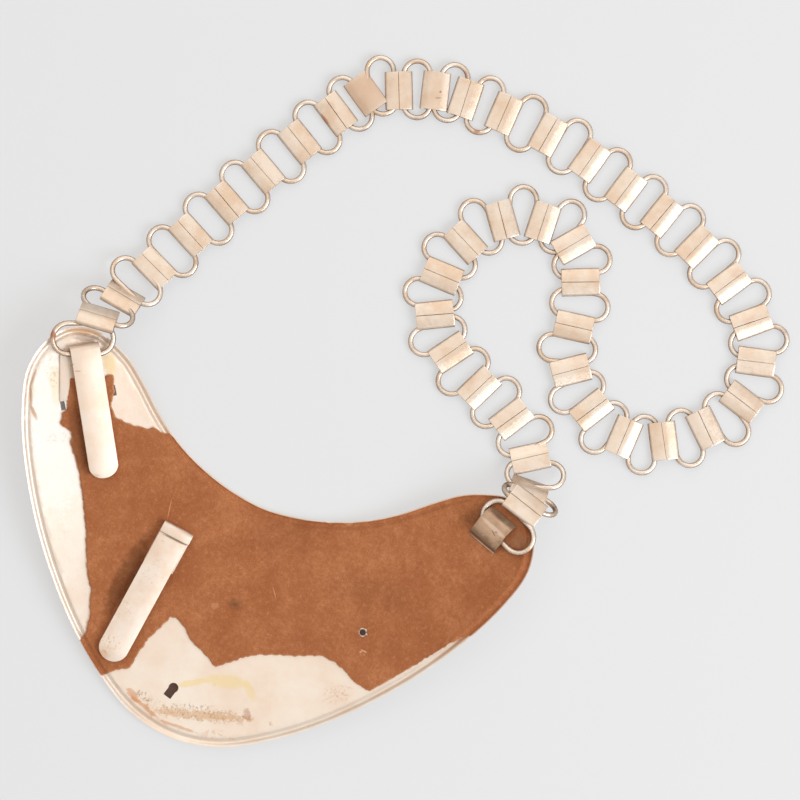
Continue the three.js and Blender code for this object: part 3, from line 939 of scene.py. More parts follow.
@dataclass
class BackingMaker:
    """The torn board lining in two plies, the lower one a little wider where it is torn.

    under is the lower ply's thickness, fray how far it reaches past the tears, jag how ragged they are,
    all in millimetres. Each tear is an outline that is cut away, in shares of half the plate's width and
    of its depth. torn_neck goes through the upper ply alone.
    """

    drawing: Drawing
    under: float = 0.35
    fray: float = 0.5
    jag: float = 0.34
    profile: tuple[Point, ...] = (
        (0.14, 0.25), (0.26, 0.5), (0.42, 0.64), (0.58, 0.58), (0.74, 0.3), (0.88, -0.06), (1.0, -0.14),
        (1.16, 0.0),
    )
    torn_end: tuple[Point, ...] = (
        (-0.33, 0.85), (-0.345, 0.8), (-0.364, 0.781), (-0.381, 0.79), (-0.431, 0.8), (-0.46, 0.798),
        (-0.491, 0.803), (-0.51, 0.79), (-0.535, 0.789), (-0.59, 0.784), (-0.64, 0.788), (-0.672, 0.818),
        (-0.682, 0.86), (-0.706, 0.896), (-0.735, 0.883), (-0.842, 0.846), (-0.825, 0.795), (-0.807, 0.764),
        (-0.818, 0.747), (-0.812, 0.72), (-0.762, 0.71), (-0.75, 0.675), (-0.679, 0.609), (-0.625, 0.53),
        (-0.583, 0.471), (-0.529, 0.374), (-0.479, 0.309), (-0.448, 0.24), (-0.435, 0.195), (-0.47, 0.1),
        (-1.2, 0.1), (-1.2, 1.2), (-0.4, 1.2),
    )
    torn_edge: tuple[Point, ...] = (
        (-0.4, -0.1), (-0.33, 0.09), (-0.289, 0.123), (-0.243, 0.143), (-0.236, 0.19), (-0.22, 0.24),
        (-0.173, 0.323), (-0.148, 0.328), (-0.105, 0.31), (-0.07, 0.285), (-0.026, 0.269), (0.01, 0.258),
        (0.055, 0.239), (0.09, 0.262), (0.158, 0.305), (0.229, 0.332), (0.32, 0.356), (0.407, 0.385),
        (0.46, 0.383), (0.511, 0.371), (0.56, 0.352), (0.622, 0.345), (0.69, 0.412), (0.753, 0.477),
        (0.834, 0.561), (0.885, 0.601), (1.2, 0.55), (1.2, -0.1),
    )
    torn_neck: tuple[Point, ...] = (
        (0.2255, 0.751), (0.2434, 0.736), (0.2614, 0.736), (0.2681, 0.747), (0.2846, 0.76), (0.3015, 0.752),
        (0.3287, 0.754), (0.3418, 0.769), (0.3633, 0.787), (0.3801, 0.779), (0.3989, 0.789), (0.405, 0.81),
        (0.37, 0.86), (0.25, 0.82),
    )
    hole: Hole = Hole(0.519, 0.488, 1.9)
    grid: float = 3.2
    tear_step: float = 0.45
    ripple: float = 0.12
    cutter_reach: float = 6.0

    def torn(self, rows: Sequence[Point], seed: float, outward: float) -> list[Vector]:
        """A ragged outline through the rows of a tear.

        Args:
            rows: Shares of half the plate's width and of its depth.
            seed: Moves the raggedness to another part of the noise.
            outward: How far the outline shrinks, in millimetres, so that the board reaches further.

        Returns:
            Corners in metres, in the drawing's plane.
        """
        corners = [self.drawing.point(*row) for row in rows]
        dense: list[Vector] = []
        for i, corner in enumerate(corners):
            after = corners[(i + 1) % len(corners)]
            steps = max(1, round((after - corner).length / self.tear_step))
            dense += [corner.lerp(after, k / steps) for k in range(steps)]
        turning = sum(a.x * b.y - b.x * a.y for a, b in zip(dense, dense[1:] + dense[:1]))
        points = []
        for i, p in enumerate(dense):
            along = (dense[(i + 1) % len(dense)] - dense[i - 1]).normalized()
            inside = Vector((-along.y, along.x, 0)) * (1 if turning > 0 else -1)
            coarse = noise.noise(Vector((p.x, p.y, seed)) * 0.55)
            fine = noise.noise(Vector((p.x, p.y, seed + 9)) * 2.1)
            points.append((p + inside * (outward + self.jag * (coarse * 1.4 + fine * 0.7))) * MM)
        return points

    def ply(self, name: str, low: float, wall: float, outward: float,
            tears: Sequence[Sequence[Point]]) -> bpy.types.Object:
        """One ply of the board.

        Args:
            name: The piece's name.
            low: Height of its upper face under the board's, in millimetres.
            wall: Its thickness in millimetres.
            outward: How far it reaches past the torn outline, in millimetres.
            tears: The tears that go through it.

        Returns:
            The piece in its place.
        """
        piece = SheetMaker(self.drawing, grid=self.grid).rimmed(name, self.profile)
        Bench.edit(piece)
        bpy.ops.mesh.select_all(action="SELECT")
        bpy.ops.mesh.extrude_region_move(TRANSFORM_OT_translate={"value": (0, 0, -wall * MM)})
        Bench.done()
        Bench.outward(piece)
        for vertex in piece.data.vertices:
            vertex.co.z -= low * MM
            wave = noise.noise(Vector((vertex.co.x, vertex.co.y, 3)) * 60)
            vertex.co.z += self.ripple * MM * wave
        reach = self.cutter_reach * MM
        for i, rows in enumerate(tears):
            cutter = Bench.prism(f"{name}_tear_{i}", self.torn(rows, 1.0 + i, outward), -reach, reach)
            Bench.cut(piece, cutter)
        Bench.cut(piece, Bench.prism(f"{name}_hole", self.ragged_hole(outward), -reach, reach))
        self.drawing.bend(piece, self.drawing.top(0) + self.drawing.clearance + self.drawing.board)
        Bench.smooth(piece, 40)
        return piece

    def ragged_hole(self, outward: float) -> list[Vector]:
        """The round hole as it is torn through the board.

        Args:
            outward: How far the ply reaches past its tears, in millimetres.

        Returns:
            Corners in metres, in the drawing's plane.
        """
        hole = Hole(self.hole.across, self.hole.along, self.hole.radius - outward / 2)
        centre = self.drawing.point(hole.across, hole.along) * MM
        corners = hole.corners(self.drawing)
        return [centre + (p - centre) * (1 + 0.5 * noise.noise(p * 1100)) for p in corners]

    def build(self) -> tuple[bpy.types.Object, bpy.types.Object]:
        """Models both plies.

        Returns:
            The upper and the lower ply.
        """
        tears = (self.torn_end, self.torn_edge)
        wall = self.drawing.board - self.under
        upper = self.ply("board_upper_ply", 0.0, wall, 0.0, (*tears, self.torn_neck))
        lower = self.ply("board_lower_ply", wall, self.under, self.fray, tears)
        return upper, lower


# Folded strips


@dataclass
class StripMaker:
    """A strip of sheet metal folded back over itself, with a rounded free end.

    It sits at a share of the plate's half width and depth, with its fold at the start of its heading.
    base and tongue are the lengths of the two layers, gap is what lies between them at the fold, and
    tip_height is the tongue's height at its tip. base_left widens the base to the left at its near and its
    far end, and the two shifts move the fold and the tongue sideways. crease is a step down past the fold,
    and crown how far the tongue bows up. Lengths are millimetres.
    """

    drawing: Drawing
    name: str
    across: float
    along: float
    heading: float
    lift: float
    width: float
    fold_width: float
    sheet: float
    gap: float
    base: float
    tongue: float
    tip_height: float
    base_left: Point = (0.0, 0.0)
    base_rise: float = 0.0
    fold_shift: float = 0.0
    tongue_shift: float = 0.0
    fold_length: float = 4.0
    crease: float = 0.0
    crease_run: float = 0.25
    crease_end: float = 2.5
    crown: float = 0.0
    near: float = 0.4
    fold_steps: int = 10
    edge: float = 0.16
    waves: float = 0.1

    def frame(self) -> Matrix:
        """Where the strip sits."""
        return self.drawing.seat(self.across, self.along, self.heading, self.lift)

    def build(self) -> bpy.types.Object:
        """Models the strip by extruding its end round the fold and out to the tip.

        Returns:
            The piece in its place.
        """
        outer = self.gap / 2 + self.sheet
        middle = self.sheet / 2
        Bench.clear()
        bpy.ops.mesh.primitive_plane_add(size=1)
        piece = bpy.context.object
        piece.name = self.name
        for vertex in piece.data.vertices:
            far = vertex.co.x > 0
            left = vertex.co.y < 0
            shift = self.base_left[1 if far else 0] * (1.0 if left or far else 0.0)
            y = math.copysign(self.fold_width / 2, vertex.co.y) - shift
            run, rise = (self.base, self.base_rise) if far else (self.near, 0)
            vertex.co = Vector((run, y, middle + rise)) * MM
        Bench.edit(piece)
        Bench.pick(piece, "EDGE", lambda co: abs(co.x - self.near * MM) < 1e-7)
        x, z = self.near, middle
        for next_x, next_z in self.path():
            step = Vector((next_x - x, 0, next_z - z)) * MM
            bpy.ops.mesh.extrude_edges_move(TRANSFORM_OT_translate={"value": tuple(step)})
            x, z = next_x, next_z
        Bench.done()
        for vertex in piece.data.vertices:
            above = vertex.co.z > outer * MM
            past = above and vertex.co.x > (self.fold_length + 0.1) * MM
            reach = (self.width if past else self.fold_width) / 2
            if above or vertex.co.x < 0.5 * self.near * MM:
                shift = self.fold_shift + (self.tongue_shift if past else 0)
                vertex.co.y = (math.copysign(reach, vertex.co.y) + shift) * MM
        Bench.edit(piece)
        self.round_tip(piece)
        Bench.done()
        Bench.apply(piece, "SOLIDIFY", thickness=self.sheet * MM, offset=0, use_even_offset=True)
        Bench.soften(piece, self.edge, 50)
        self.wear(piece)
        Bench.outward(piece)
        Bench.bake_place(piece, self.frame())
        Bench.smooth(piece, 40)
        return piece

    def path(self) -> list[Point]:
        """The strip's middle line from the base's near end round the fold to the tip.

        Returns:
            Points of (run, height) in millimetres.
        """
        middle = self.sheet / 2
        bend = self.gap / 2 + middle
        angles = [math.pi * i / self.fold_steps for i in range(self.fold_steps + 1)]
        points = [(-bend * math.sin(a), middle + bend * (1 - math.cos(a))) for a in angles]
        top = middle + 2 * bend
        points += [(self.fold_length, top), (self.fold_length + self.crease_run, top - self.crease)]
        if self.crease:
            points.append((self.fold_length + self.crease_end, top - 0.6 * self.crease))
        return points + [(self.tongue * k / 10, self.rise(k / 10, top)) for k in range(2, 11)]

    def rise(self, share: float, top: float) -> float:
        """Height of the tongue's middle plane at a share of its length."""
        tip = self.tip_height + self.sheet / 2
        return top + (tip - top) * share + self.crown * math.sin(math.pi * share)

    def round_tip(self, piece: bpy.types.Object) -> None:
        """Rounds the free end by bevelling its two corners.

        Args:
            piece: The strip in edit mode.
        """
        tip = self.tongue * MM
        Bench.pick(piece, "VERT", lambda co: abs(co.x - tip) < 1e-6)
        bpy.ops.mesh.bevel(affect="VERTICES", offset=self.width * 0.49 * MM, segments=12, profile=0.5)

    def wear(self, piece: bpy.types.Object) -> None:
        """Waves the strip a little, as handled metal has it.

        Args:
            piece: The strip at the origin.
        """
        for vertex in piece.data.vertices:
            wave = noise.noise(Vector((vertex.co.x * 90, vertex.co.y * 40, 0)))
            vertex.co.z += self.waves * MM * wave


@dataclass
class StapleMaker:
    """The arched strip over the chain's last ring, with a foot lip and a small dent.

    The profile is rows of (run, rise) as shares of the span and the height. dent_at is the dent's middle
    and radius in the staple's own frame, in millimetres.
    """

    drawing: Drawing
    lift: float
    across: float = 0.808
    along: float = 0.852
    heading: float = 71.8
    width: float = 13.0
    span: float = 14.4
    height: float = 4.2
    sheet: float = 0.8
    profile: tuple[Point, ...] = (
        (0.0, 0.09), (0.055, 0.1), (0.085, 0.3), (0.12, 0.54), (0.18, 0.67), (0.28, 0.78), (0.4, 0.86),
        (0.54, 0.9), (0.68, 0.88), (0.78, 0.82), (0.83, 0.68), (0.89, 0.4), (0.965, 0.05),
    )
    dent_at: Triple = (7.4, -2.2, 2.2)
    dent: float = 0.55
    waves: float = 0.25
    edge: float = 0.14

    def frame(self) -> Matrix:
        """Where the staple sits."""
        return self.drawing.seat(self.across, self.along, self.heading, self.lift)

    def build(self) -> bpy.types.Object:
        """Models the staple by extruding an edge along the arch.

        Returns:
            The piece in its place.
        """
        Bench.clear()
        bpy.ops.mesh.primitive_plane_add(size=1)
        piece = bpy.context.object
        piece.name = "staple_arch"
        rows = [Vector((run * self.span, 0, rise * self.height)) * MM for run, rise in self.profile]
        for vertex in piece.data.vertices:
            row = rows[1] if vertex.co.x > 0 else rows[0]
            vertex.co = Vector((row.x, math.copysign(self.width / 2 * MM, vertex.co.y), row.z))
        Bench.edit(piece)
        Bench.pick(piece, "EDGE", lambda co: abs(co.x - rows[1].x) < 1e-7)
        for before, after in zip(rows[1:], rows[2:]):
            bpy.ops.mesh.extrude_edges_move(TRANSFORM_OT_translate={"value": tuple(after - before)})
        bpy.ops.mesh.select_all(action="SELECT")
        bpy.ops.mesh.subdivide(number_cuts=3)
        Bench.done()
        self.press(piece)
        Bench.apply(piece, "SOLIDIFY", thickness=self.sheet * MM, offset=0, use_even_offset=True)
        Bench.soften(piece, self.edge, 50)
        Bench.outward(piece)
        Bench.bake_place(piece, self.frame())
        Bench.smooth(piece, 42)
        return piece

    def press(self, piece: bpy.types.Object) -> None:
        """Presses the small dent into the arch and waves its edges.

        Args:
            piece: The staple's sheet at the origin.
        """
        x, y, radius = self.dent_at
        for vertex in piece.data.vertices:
            away = math.hypot(vertex.co.x / MM - x, vertex.co.y / MM - y) / radius
            vertex.co.z -= self.dent * MM * math.exp(-away * away)
            wave = noise.noise(Vector((vertex.co.x * 300, 2, math.copysign(3, vertex.co.y))))
            vertex.co.y += self.waves * MM * wave


# Neck chain


class Seam(Enum):
    """Which side of a band lies up."""

    UP = "seam up"
    DOWN = "seam down"


@dataclass(frozen=True)
class Stop:
    """A chosen point of the chain's route: the middle of one band, in millimetres of the drawing.

    z is left out where the band lies on the table. turn swings the band out of the route, tilt is its
    slope, both in degrees.
    """

    link: int
    x: float
    y: float
    z: Optional[float] = None
    turn: float = 0.0
    tilt: Optional[float] = None
    seam: Seam = Seam.UP


CHAIN_ROUTE = (
    Stop(0, -89.0, 128.5, 18.6),
    Stop(1, -88.6, 144.4, 18.6, 18, -40),
    Stop(2, -83.2, 155.1, 8.4, 18, -38),
    Stop(3, -76.4, 171.3, 2.8),
    Stop(4, -68.2, 188.9),
    Stop(7, -41.9, 239.8),
    Stop(8, -32.7, 255.7),
    Stop(9, -24.7, 267.5, turn=16, seam=Seam.DOWN),
    Stop(10, -12.8, 273.6),
    Stop(11, 0.7, 279.0, seam=Seam.DOWN),
    Stop(12, 13.0, 280.7),
    Stop(15, 68.2, 276.5),
    Stop(16, 86.0, 271.2),
    Stop(17, 103.3, 267.1),
    Stop(21, 160.1, 227.0),
    Stop(22, 160.9, 210.1),
    Stop(23, 151.4, 194.9),
    Stop(25, 122.4, 179.3),
    Stop(27, 92.9, 195.9),
    Stop(29, 83.2, 230.1),
    Stop(30, 74.8, 243.1),
    Stop(32, 44.9, 241.2),
    Stop(33, 34.5, 227.7),
    Stop(35, 34.2, 196.1),
    Stop(37, 61.5, 175.7),
    Stop(38, 78.2, 169.3),
    Stop(39, 90.9, 157.5, 2.9),
    Stop(40, 95.1, 145.4, 8.0, -10, 50),
    Stop(41, 95.4, 139.2, 19.6, -6, 17),
    Stop(42, 92.2, 124.2, 20.3),
)


@dataclass
class BandPose:
    """Where one band lies, in the drawing's millimetres."""

    middle: Vector
    ahead: Vector
    side: Vector
    heading: float
    seam: Seam


@dataclass
class ChainMaker:
    """The neck chain: folded bands that each hold two wire rings.

    spacing is how far a ring's two straight bars lie apart and straight how long they are. shift slides a
    ring outwards for each radian that the chain turns. ridge is the seam's height over a band, belly and
    pillow are the swell of a band's underside, for bands with the seam up and down. sample is the share
    of a link over which the route's direction is measured, contact the share of a sloping band that
    touches the table. seams gives the gap and the skew of each kind of band, and hook_ring and staple_ring
    the run, the side and the turn in degrees of an end ring in its holder's frame. Lengths are millimetres.
    """

    drawing: Drawing
    hook_seat: Matrix
    staple_seat: Matrix
    hook_height: float
    link_count: int = 41
    wire: float = 1.04
    spacing: float = 10.7
    end_spacing: float = 12.2
    straight: float = 12.0
    shift: float = 4.3
    band_width: float = 15.2
    band_length: float = 11.2
    band_depth: float = 3.1
    ridge: float = 0.8
    band_sheet: float = 0.45
    belly: float = 0.4
    pillow: float = 1.0
    sample: float = 0.25
    contact: float = 0.8
    band_cuts: tuple[float, ...] = (-0.47, -0.2, 0.12, 0.46)
    seams: tuple[Point, ...] = ((0.1, 0.0), (0.16, 0.35), (0.07, -0.3))
    pinch: float = 0.012
    edge: float = 0.09
    hook_ring: Triple = (-4.6, 1.6, -10)
    staple_ring: Triple = (12.0, -4.0, -5)

    def rows(self, axis: str) -> list[tuple[int, float]]:
        """One coordinate of the route's stops, with the height of a lying band where none is given.

        Args:
            axis: "x", "y" or "z".

        Returns:
            Rows of (link, value).
        """
        floor = self.band_depth / 2
        values = [(stop.link, getattr(stop, axis)) for stop in CHAIN_ROUTE]
        return [(link, floor if value is None else value) for link, value in values]

    def value(self, axis: str, link: float) -> float:
        """One coordinate of the route's smooth curve.

        Args:
            axis: "x", "y" or "z".
            link: Number of the link, which may lie between two.

        Returns:
            The coordinate in millimetres.
        """
        rows = self.rows(axis)

        def slope(i: int) -> float:
            """Slope of the curve at one stop, weighed from the stretches on both sides.

            Args:
                i: The stop's row.

            Returns:
                How far the coordinate moves for each link.
            """
            if i in (0, len(rows) - 1):
                j = 1 if i == 0 else i - 1
                return (rows[j][1] - rows[i][1]) / (rows[j][0] - rows[i][0])
            before = rows[i][0] - rows[i - 1][0]
            after = rows[i + 1][0] - rows[i][0]
            back = (rows[i][1] - rows[i - 1][1]) / before
            ahead = (rows[i + 1][1] - rows[i][1]) / after
            return (back * after + ahead * before) / (before + after)

        i = 0
        while i + 2 < len(rows) and rows[i + 1][0] <= link:
            i += 1
        span = rows[i + 1][0] - rows[i][0]
        t = (link - rows[i][0]) / span
        return (
            (1 + 2 * t) * (1 - t) ** 2 * rows[i][1]
            + t * (1 - t) ** 2 * span * slope(i)
            + t * t * (3 - 2 * t) * rows[i + 1][1]
            + t * t * (t - 1) * span * slope(i + 1)
        )

    def point(self, link: float) -> Vector:
        """A point of the route."""
        return Vector([self.value(axis, link) for axis in "xyz"])

    def pose(self, link: int) -> BandPose:
        """Where one band lies: on the table, or climbing to a holder.

        Args:
            link: The band's number.

        Returns:
            Its pose.
        """
        stops = [stop for stop in CHAIN_ROUTE if stop.link == link]
        stop = stops[0] if stops else Stop(link, 0, 0)
        ahead = self.point(link + self.sample) - self.point(link - self.sample)
        climb = math.atan2(ahead.z, math.hypot(ahead.x, ahead.y))
        climb = climb if stop.tilt is None else math.radians(stop.tilt)
        heading = math.atan2(ahead.y, ahead.x) + math.radians(stop.turn)
        level = math.cos(climb)
        ahead = Vector((math.cos(heading) * level, math.sin(heading) * level, math.sin(climb)))
        side = Vector((-math.sin(heading), math.cos(heading), 0))
        middle = self.point(link)
        down = stop.seam is Seam.DOWN
        under = self.band_depth / 2 + (self.ridge if down else 0)
        corner = 0 if down else self.contact * self.band_length / 2
        middle.z = max(middle.z, under * math.cos(climb) + corner * abs(math.sin(climb)))
        return BandPose(middle, ahead, side, heading, stop.seam)

    def matrix(self, middle: Vector, ahead: Vector, side: Vector) -> Matrix:
        """A frame of the chain in the row frame."""
        place = self.drawing.place(*middle)
        return frame_of(ahead, side, ahead.cross(side).normalized(), place)

    def ring_matrix(self, first: BandPose, second: BandPose) -> Matrix:
        """The frame of the ring between two bands, slid outwards where the chain turns.

        Args:
            first: Pose of the band before it.
            second: Pose of the band after it.

        Returns:
            The ring's frame in the row frame.
        """
        ahead = (second.middle - first.middle).normalized()
        side = first.side + second.side
        side = (side - ahead * side.dot(ahead)).normalized()
        change = second.heading - first.heading
        turn = math.atan2(math.sin(change), math.cos(change))
        middle = (first.middle + second.middle) / 2 - side * self.shift * turn
        return self.matrix(middle, ahead, side)

    def wire_ring(self, name: str, spacing: float) -> bpy.types.Object:
        """Models one ring: a wire's section spun round one end, drawn out, and spun round the other.

        Args:
            name: The ring's name.
            spacing: How far its two bars lie apart, in millimetres.

        Returns:
            The ring at the origin.
        """
        Bench.clear()
        bpy.ops.mesh.primitive_circle_add(vertices=14, radius=self.wire * MM, rotation=(math.pi / 2, 0, 0))
        piece = bpy.context.object
        piece.name = name
        Bench.bake_place(piece, Matrix.Translation((spacing / 2 * MM, self.straight / 2 * MM, 0)))
        Bench.edit(piece)
        bpy.ops.mesh.select_all(action="SELECT")
        for end in (1, -1):
            centre = (0, end * self.straight / 2 * MM, 0)
            bpy.ops.mesh.spin(steps=12, angle=-math.pi, center=centre, axis=(0, 0, 1))
            drawn = -end * self.straight * MM
            bpy.ops.mesh.extrude_edges_move(TRANSFORM_OT_translate={"value": (0, drawn, 0)})
        Bench.done()
        Bench.outward(piece)
        Bench.edit(piece)
        bpy.ops.mesh.select_all(action="SELECT")
        bpy.ops.mesh.remove_doubles(threshold=2e-5)
        Bench.done()
        Bench.smooth(piece, 60)
        return piece

    def band_path(self, gap: float, belly: float) -> list[Point]:
        """Half of a band's folded section, from the seam over the wire to the middle of its underside.

        Args:
            gap: Width of the seam in millimetres.
            belly: How far the underside swells.

        Returns:
            Points of (run, height) in millimetres.
        """
        half, low = self.band_length / 2, -self.band_depth / 2
        middle = self.band_sheet / 2
        crest = -low + self.ridge - middle
        shoulder = -low * 0.95 - middle
        hem = low + middle + belly
        bend = (shoulder - hem) / 2
        centre = (half - middle - bend * 0.8, (shoulder + hem) / 2)
        path = [(gap / 2, crest), (half * 0.4, crest * 0.62 + shoulder * 0.38)]
        for i in range(9):
            angle = math.pi / 2 - math.pi * i / 8
            path.append((centre[0] + bend * 0.8 * math.cos(angle), centre[1] + bend * math.sin(angle)))
        path += [(half * 0.62, hem - 0.6 * belly), (half * 0.33, hem - 0.9 * belly), (0.0, low + middle)]
        return path

    def folded_band(self, name: str, gap: float, skew: float, belly: float) -> bpy.types.Object:
        """Models one band: an edge drawn round both wires and closed at the seam, then thickened.

        Args:
            name: The piece's name.
            gap: Width of the seam in millimetres.
            skew: How far the seam runs out of true from end to end, in millimetres.
            belly: How far its underside swells, in millimetres.

        Returns:
            The band at the origin, its seam up.
        """
        half = self.band_path(gap, belly)
        path = half + [(-x, z) for x, z in reversed(half[:-1])]
        Bench.clear()
        bpy.ops.mesh.primitive_plane_add(size=1)
        piece = bpy.context.object
        piece.name = name
        for vertex in piece.data.vertices:
            x, z = path[1] if vertex.co.x > 0 else path[0]
            vertex.co = Vector((x, math.copysign(self.band_width / 2, vertex.co.y), z)) * MM
        Bench.edit(piece)
        start = Vector((path[1][0], 0, path[1][1])) * MM
        Bench.pick(piece, "EDGE", lambda co: abs(co.x - start.x) < 1e-7 and abs(co.z - start.z) < 1e-7)
        for before, after in zip(path[1:], path[2:]):
            step = ((after[0] - before[0]) * MM, 0, (after[1] - before[1]) * MM)
            bpy.ops.mesh.extrude_edges_move(TRANSFORM_OT_translate={"value": step})
        Bench.done()
        for at in self.band_cuts:
            Bench.edit(piece)
            bpy.ops.mesh.select_all(action="SELECT")
            bpy.ops.mesh.bisect(plane_co=(0, at * self.band_width * MM, 0), plane_no=(0, 1, 0))
            Bench.done()
        for vertex in piece.data.vertices:
            top = vertex.co.z > 0.9 * MM and abs(vertex.co.x) < 2.0 * MM
            vertex.co.x += skew * MM * vertex.co.y / (self.band_width * MM) if top else 0
            vertex.co.x *= 1 - self.pinch * (abs(vertex.co.y) / (self.band_width / 2 * MM)) ** 4
        Bench.apply(piece, "SOLIDIFY", thickness=self.band_sheet * MM, offset=0, use_even_offset=True)
        Bench.soften(piece, self.edge, 48)
        Bench.outward(piece)
        Bench.smooth(piece, 38)
        return piece

    @staticmethod
    def end_ring_matrix(holder: Matrix, seat: Triple, height: float) -> Matrix:
        """An end ring's frame.

        Args:
            holder: The frame of the strip that holds it.
            seat: Its run and side in that frame, in millimetres, and its turn in degrees.
            height: Its height in that frame, in millimetres.

        Returns:
            The ring's frame in the row frame.
        """
        run, side, turn = seat
        shift = Matrix.Translation(Vector((run, side, height)) * MM)
        return holder @ shift @ Matrix.Rotation(math.radians(turn), 4, "Z")

    def build(self) -> tuple[list[bpy.types.Object], list[bpy.types.Object]]:
        """Models two sizes of ring and four bands, and lays out the whole chain.

        Returns:
            All rings and all bands.
        """
        poses = [self.pose(i + 1) for i in range(self.link_count)]
        ring = self.wire_ring("ring_pattern", self.spacing)
        end_ring = self.wire_ring("end_ring_pattern", self.end_spacing)
        kinds = [self.folded_band(f"band_pattern_{i}", gap, skew, self.belly)
                 for i, (gap, skew) in enumerate(self.seams)]
        pillow = self.folded_band("band_pattern_pillow", 0.1, 0.0, self.pillow)
        rings, bands = [], []
        ends = (
            self.end_ring_matrix(self.hook_seat, self.hook_ring, self.hook_height),
            self.end_ring_matrix(self.staple_seat, self.staple_ring, self.drawing.clearance + self.wire),
        )
        for name, matrix in zip(("chain_end_ring_hook", "chain_end_ring_staple"), ends):
            piece = Bench.copy(end_ring, name)
            Bench.bake_place(piece, matrix)
            rings.append(piece)
        for i, (first, second) in enumerate(zip(poses, poses[1:])):
            piece = Bench.copy(ring, f"chain_ring_{i + 1:02d}")
            Bench.bake_place(piece, self.ring_matrix(first, second))
            rings.append(piece)
        for i, pose in enumerate(poses):
            turned = pose.seam is Seam.DOWN
            piece = Bench.copy(pillow if turned else kinds[i % 3], f"chain_band_{i + 1:02d}")
            side = -pose.side if turned else pose.side
            Bench.bake_place(piece, self.matrix(pose.middle, pose.ahead, side))
            bands.append(piece)
        for pattern in (ring, end_ring, pillow, *kinds):
            bpy.data.objects.remove(pattern, do_unlink=True)
        return rings, bands


# Stage


@dataclass(frozen=True)
class Softbox:
    """A square softbox that faces the object.

    right and up are its distances to the picture's right and top in metres, height is over the table,
    size is its side and power is in watts.
    """

    name: str
    right: float
    up: float
    height: float
    size: float
    power: float
    colour: Triple

    def hang(self, to_right: Vector, to_up: Vector) -> None:
        """Hangs it.

        Args:
            to_right: The picture's right on the table.
            to_up: The picture's top on the table.
        """
        data = bpy.data.lights.new(self.name, "AREA")
        data.shape = "SQUARE"
        data.size = self.size
        data.energy = self.power
        data.color = self.colour
        lamp = bpy.data.objects.new(self.name, data)
        lamp.location = to_right * self.right + to_up * self.up + Vector((0, 0, self.height))
        lamp.rotation_euler = (-lamp.location).to_track_quat("-Z", "Y").to_euler()
        bpy.context.collection.objects.link(lamp)


SOFTBOXES = (
    Softbox("key_softbox", 0.95, -0.5, 1.05, 1.0, 14.5, (0.96, 1.0, 1.06)),
    Softbox("top_softbox", -0.5, 0.4, 1.9, 2.2, 10.0, (1.0, 0.95, 0.9)),
    Softbox("far_softbox", 0.25, 1.1, 0.85, 1.2, 4.5, (1.0, 0.96, 0.91)),
)


@dataclass
class Studio:
    """Camera, lights and floor: straight above, as the photograph was taken.

    turn is how far the picture is turned against the plate, in degrees. Lengths are metres, and the
    sensor's width is in millimetres. room is the strength of the soft light all round.
    """

    drawing: Drawing
    turn: float = 22.13
    look_at: tuple[float, float] = (0.0, 0.0128)
    height: float = 1.3
    view_width: float = 0.32
    sensor: float = 36.0
    room: float = 0.44
    table_size: float = 6.0
    table_depth: float = 0.0002

    def camera(self) -> None:
        """Sets up the camera."""
        data = bpy.data.cameras.new("overhead")
        data.sensor_width = self.sensor
        data.lens = self.sensor * self.height / self.view_width
        data.clip_end = 20
        camera = bpy.data.objects.new("overhead", data)
        camera.location = (*self.look_at, self.height)
        camera.rotation_euler = (0, 0, math.radians(self.turn))
        bpy.context.collection.objects.link(camera)
        bpy.context.scene.camera = camera

    def light(self) -> None:
        """Hangs the lights and fills the room with soft light."""
        angle = math.radians(self.turn)
        to_right = Vector((math.cos(angle), math.sin(angle), 0))
        to_up = Vector((-math.sin(angle), math.cos(angle), 0))
        for softbox in SOFTBOXES:
            softbox.hang(to_right, to_up)
        world = bpy.data.worlds.new("room")
        bpy.context.scene.world = world
        world.use_nodes = True
        background = world.node_tree.nodes["Background"]
        background.inputs["Color"].default_value = ROOM_COLOUR
        background.inputs["Strength"].default_value = self.room
        bpy.context.scene.view_settings.view_transform = "Standard"

    def floor(self) -> None:
        """Lays the pale, glowing table, with a soft shadow of the plate painted on it."""
        Bench.clear()
        bpy.ops.mesh.primitive_plane_add(size=self.table_size, location=(0, 0, -self.table_depth))
        table = bpy.context.object
        table.name = "table"
        graph = Graph("pale_table")
        colour: object = TABLE_COLOUR
        glow: object = TABLE_GLOW
        for shade in TABLE_SHADE:
            share = graph.spot(self.drawing, shade, 0.5, 1.0)
            colour = graph.mix(share, colour, shade.colour)
            glow = graph.mix(share, glow, SHADE_GLOW)
        graph.join(glow, graph.shader.inputs["Emission Color"])
        graph.shader.inputs["Emission Strength"].default_value = 1.0
        table.data.materials.append(graph.finish(colour, 0.9, 0.0))

    def build(self) -> None:
        """Sets up the whole stage."""
        self.camera()
        self.light()
        self.floor()


# Finishes

CREAM = paint(241, 226, 211)
PEACH = paint(231, 206, 183)
FAWN = paint(224, 197, 171)
CHALK = paint(250, 244, 238)
SMOKE = paint(122, 88, 62)
UMBER = paint(88, 60, 42)
GLUE = paint(238, 212, 146)
RUST = paint(166, 92, 48)
TAN = paint(178, 122, 70)
AMBER = paint(204, 136, 78)
SEAM_DOWN_SHADE = paint(204, 168, 136)
OCHRE = paint(206, 152, 88)
ASH = paint(140, 98, 60)
GREY = paint(158, 152, 146)
BROWN = paint(92, 56, 36)
SHADE = paint(84, 62, 50)
TABLE_COLOUR = paint(148, 148, 148)
TABLE_GLOW = paint(183, 184, 185)
SHADE_GLOW = paint(30, 17, 10)
ROOM_COLOUR = (1.0, 0.95, 0.9, 1)

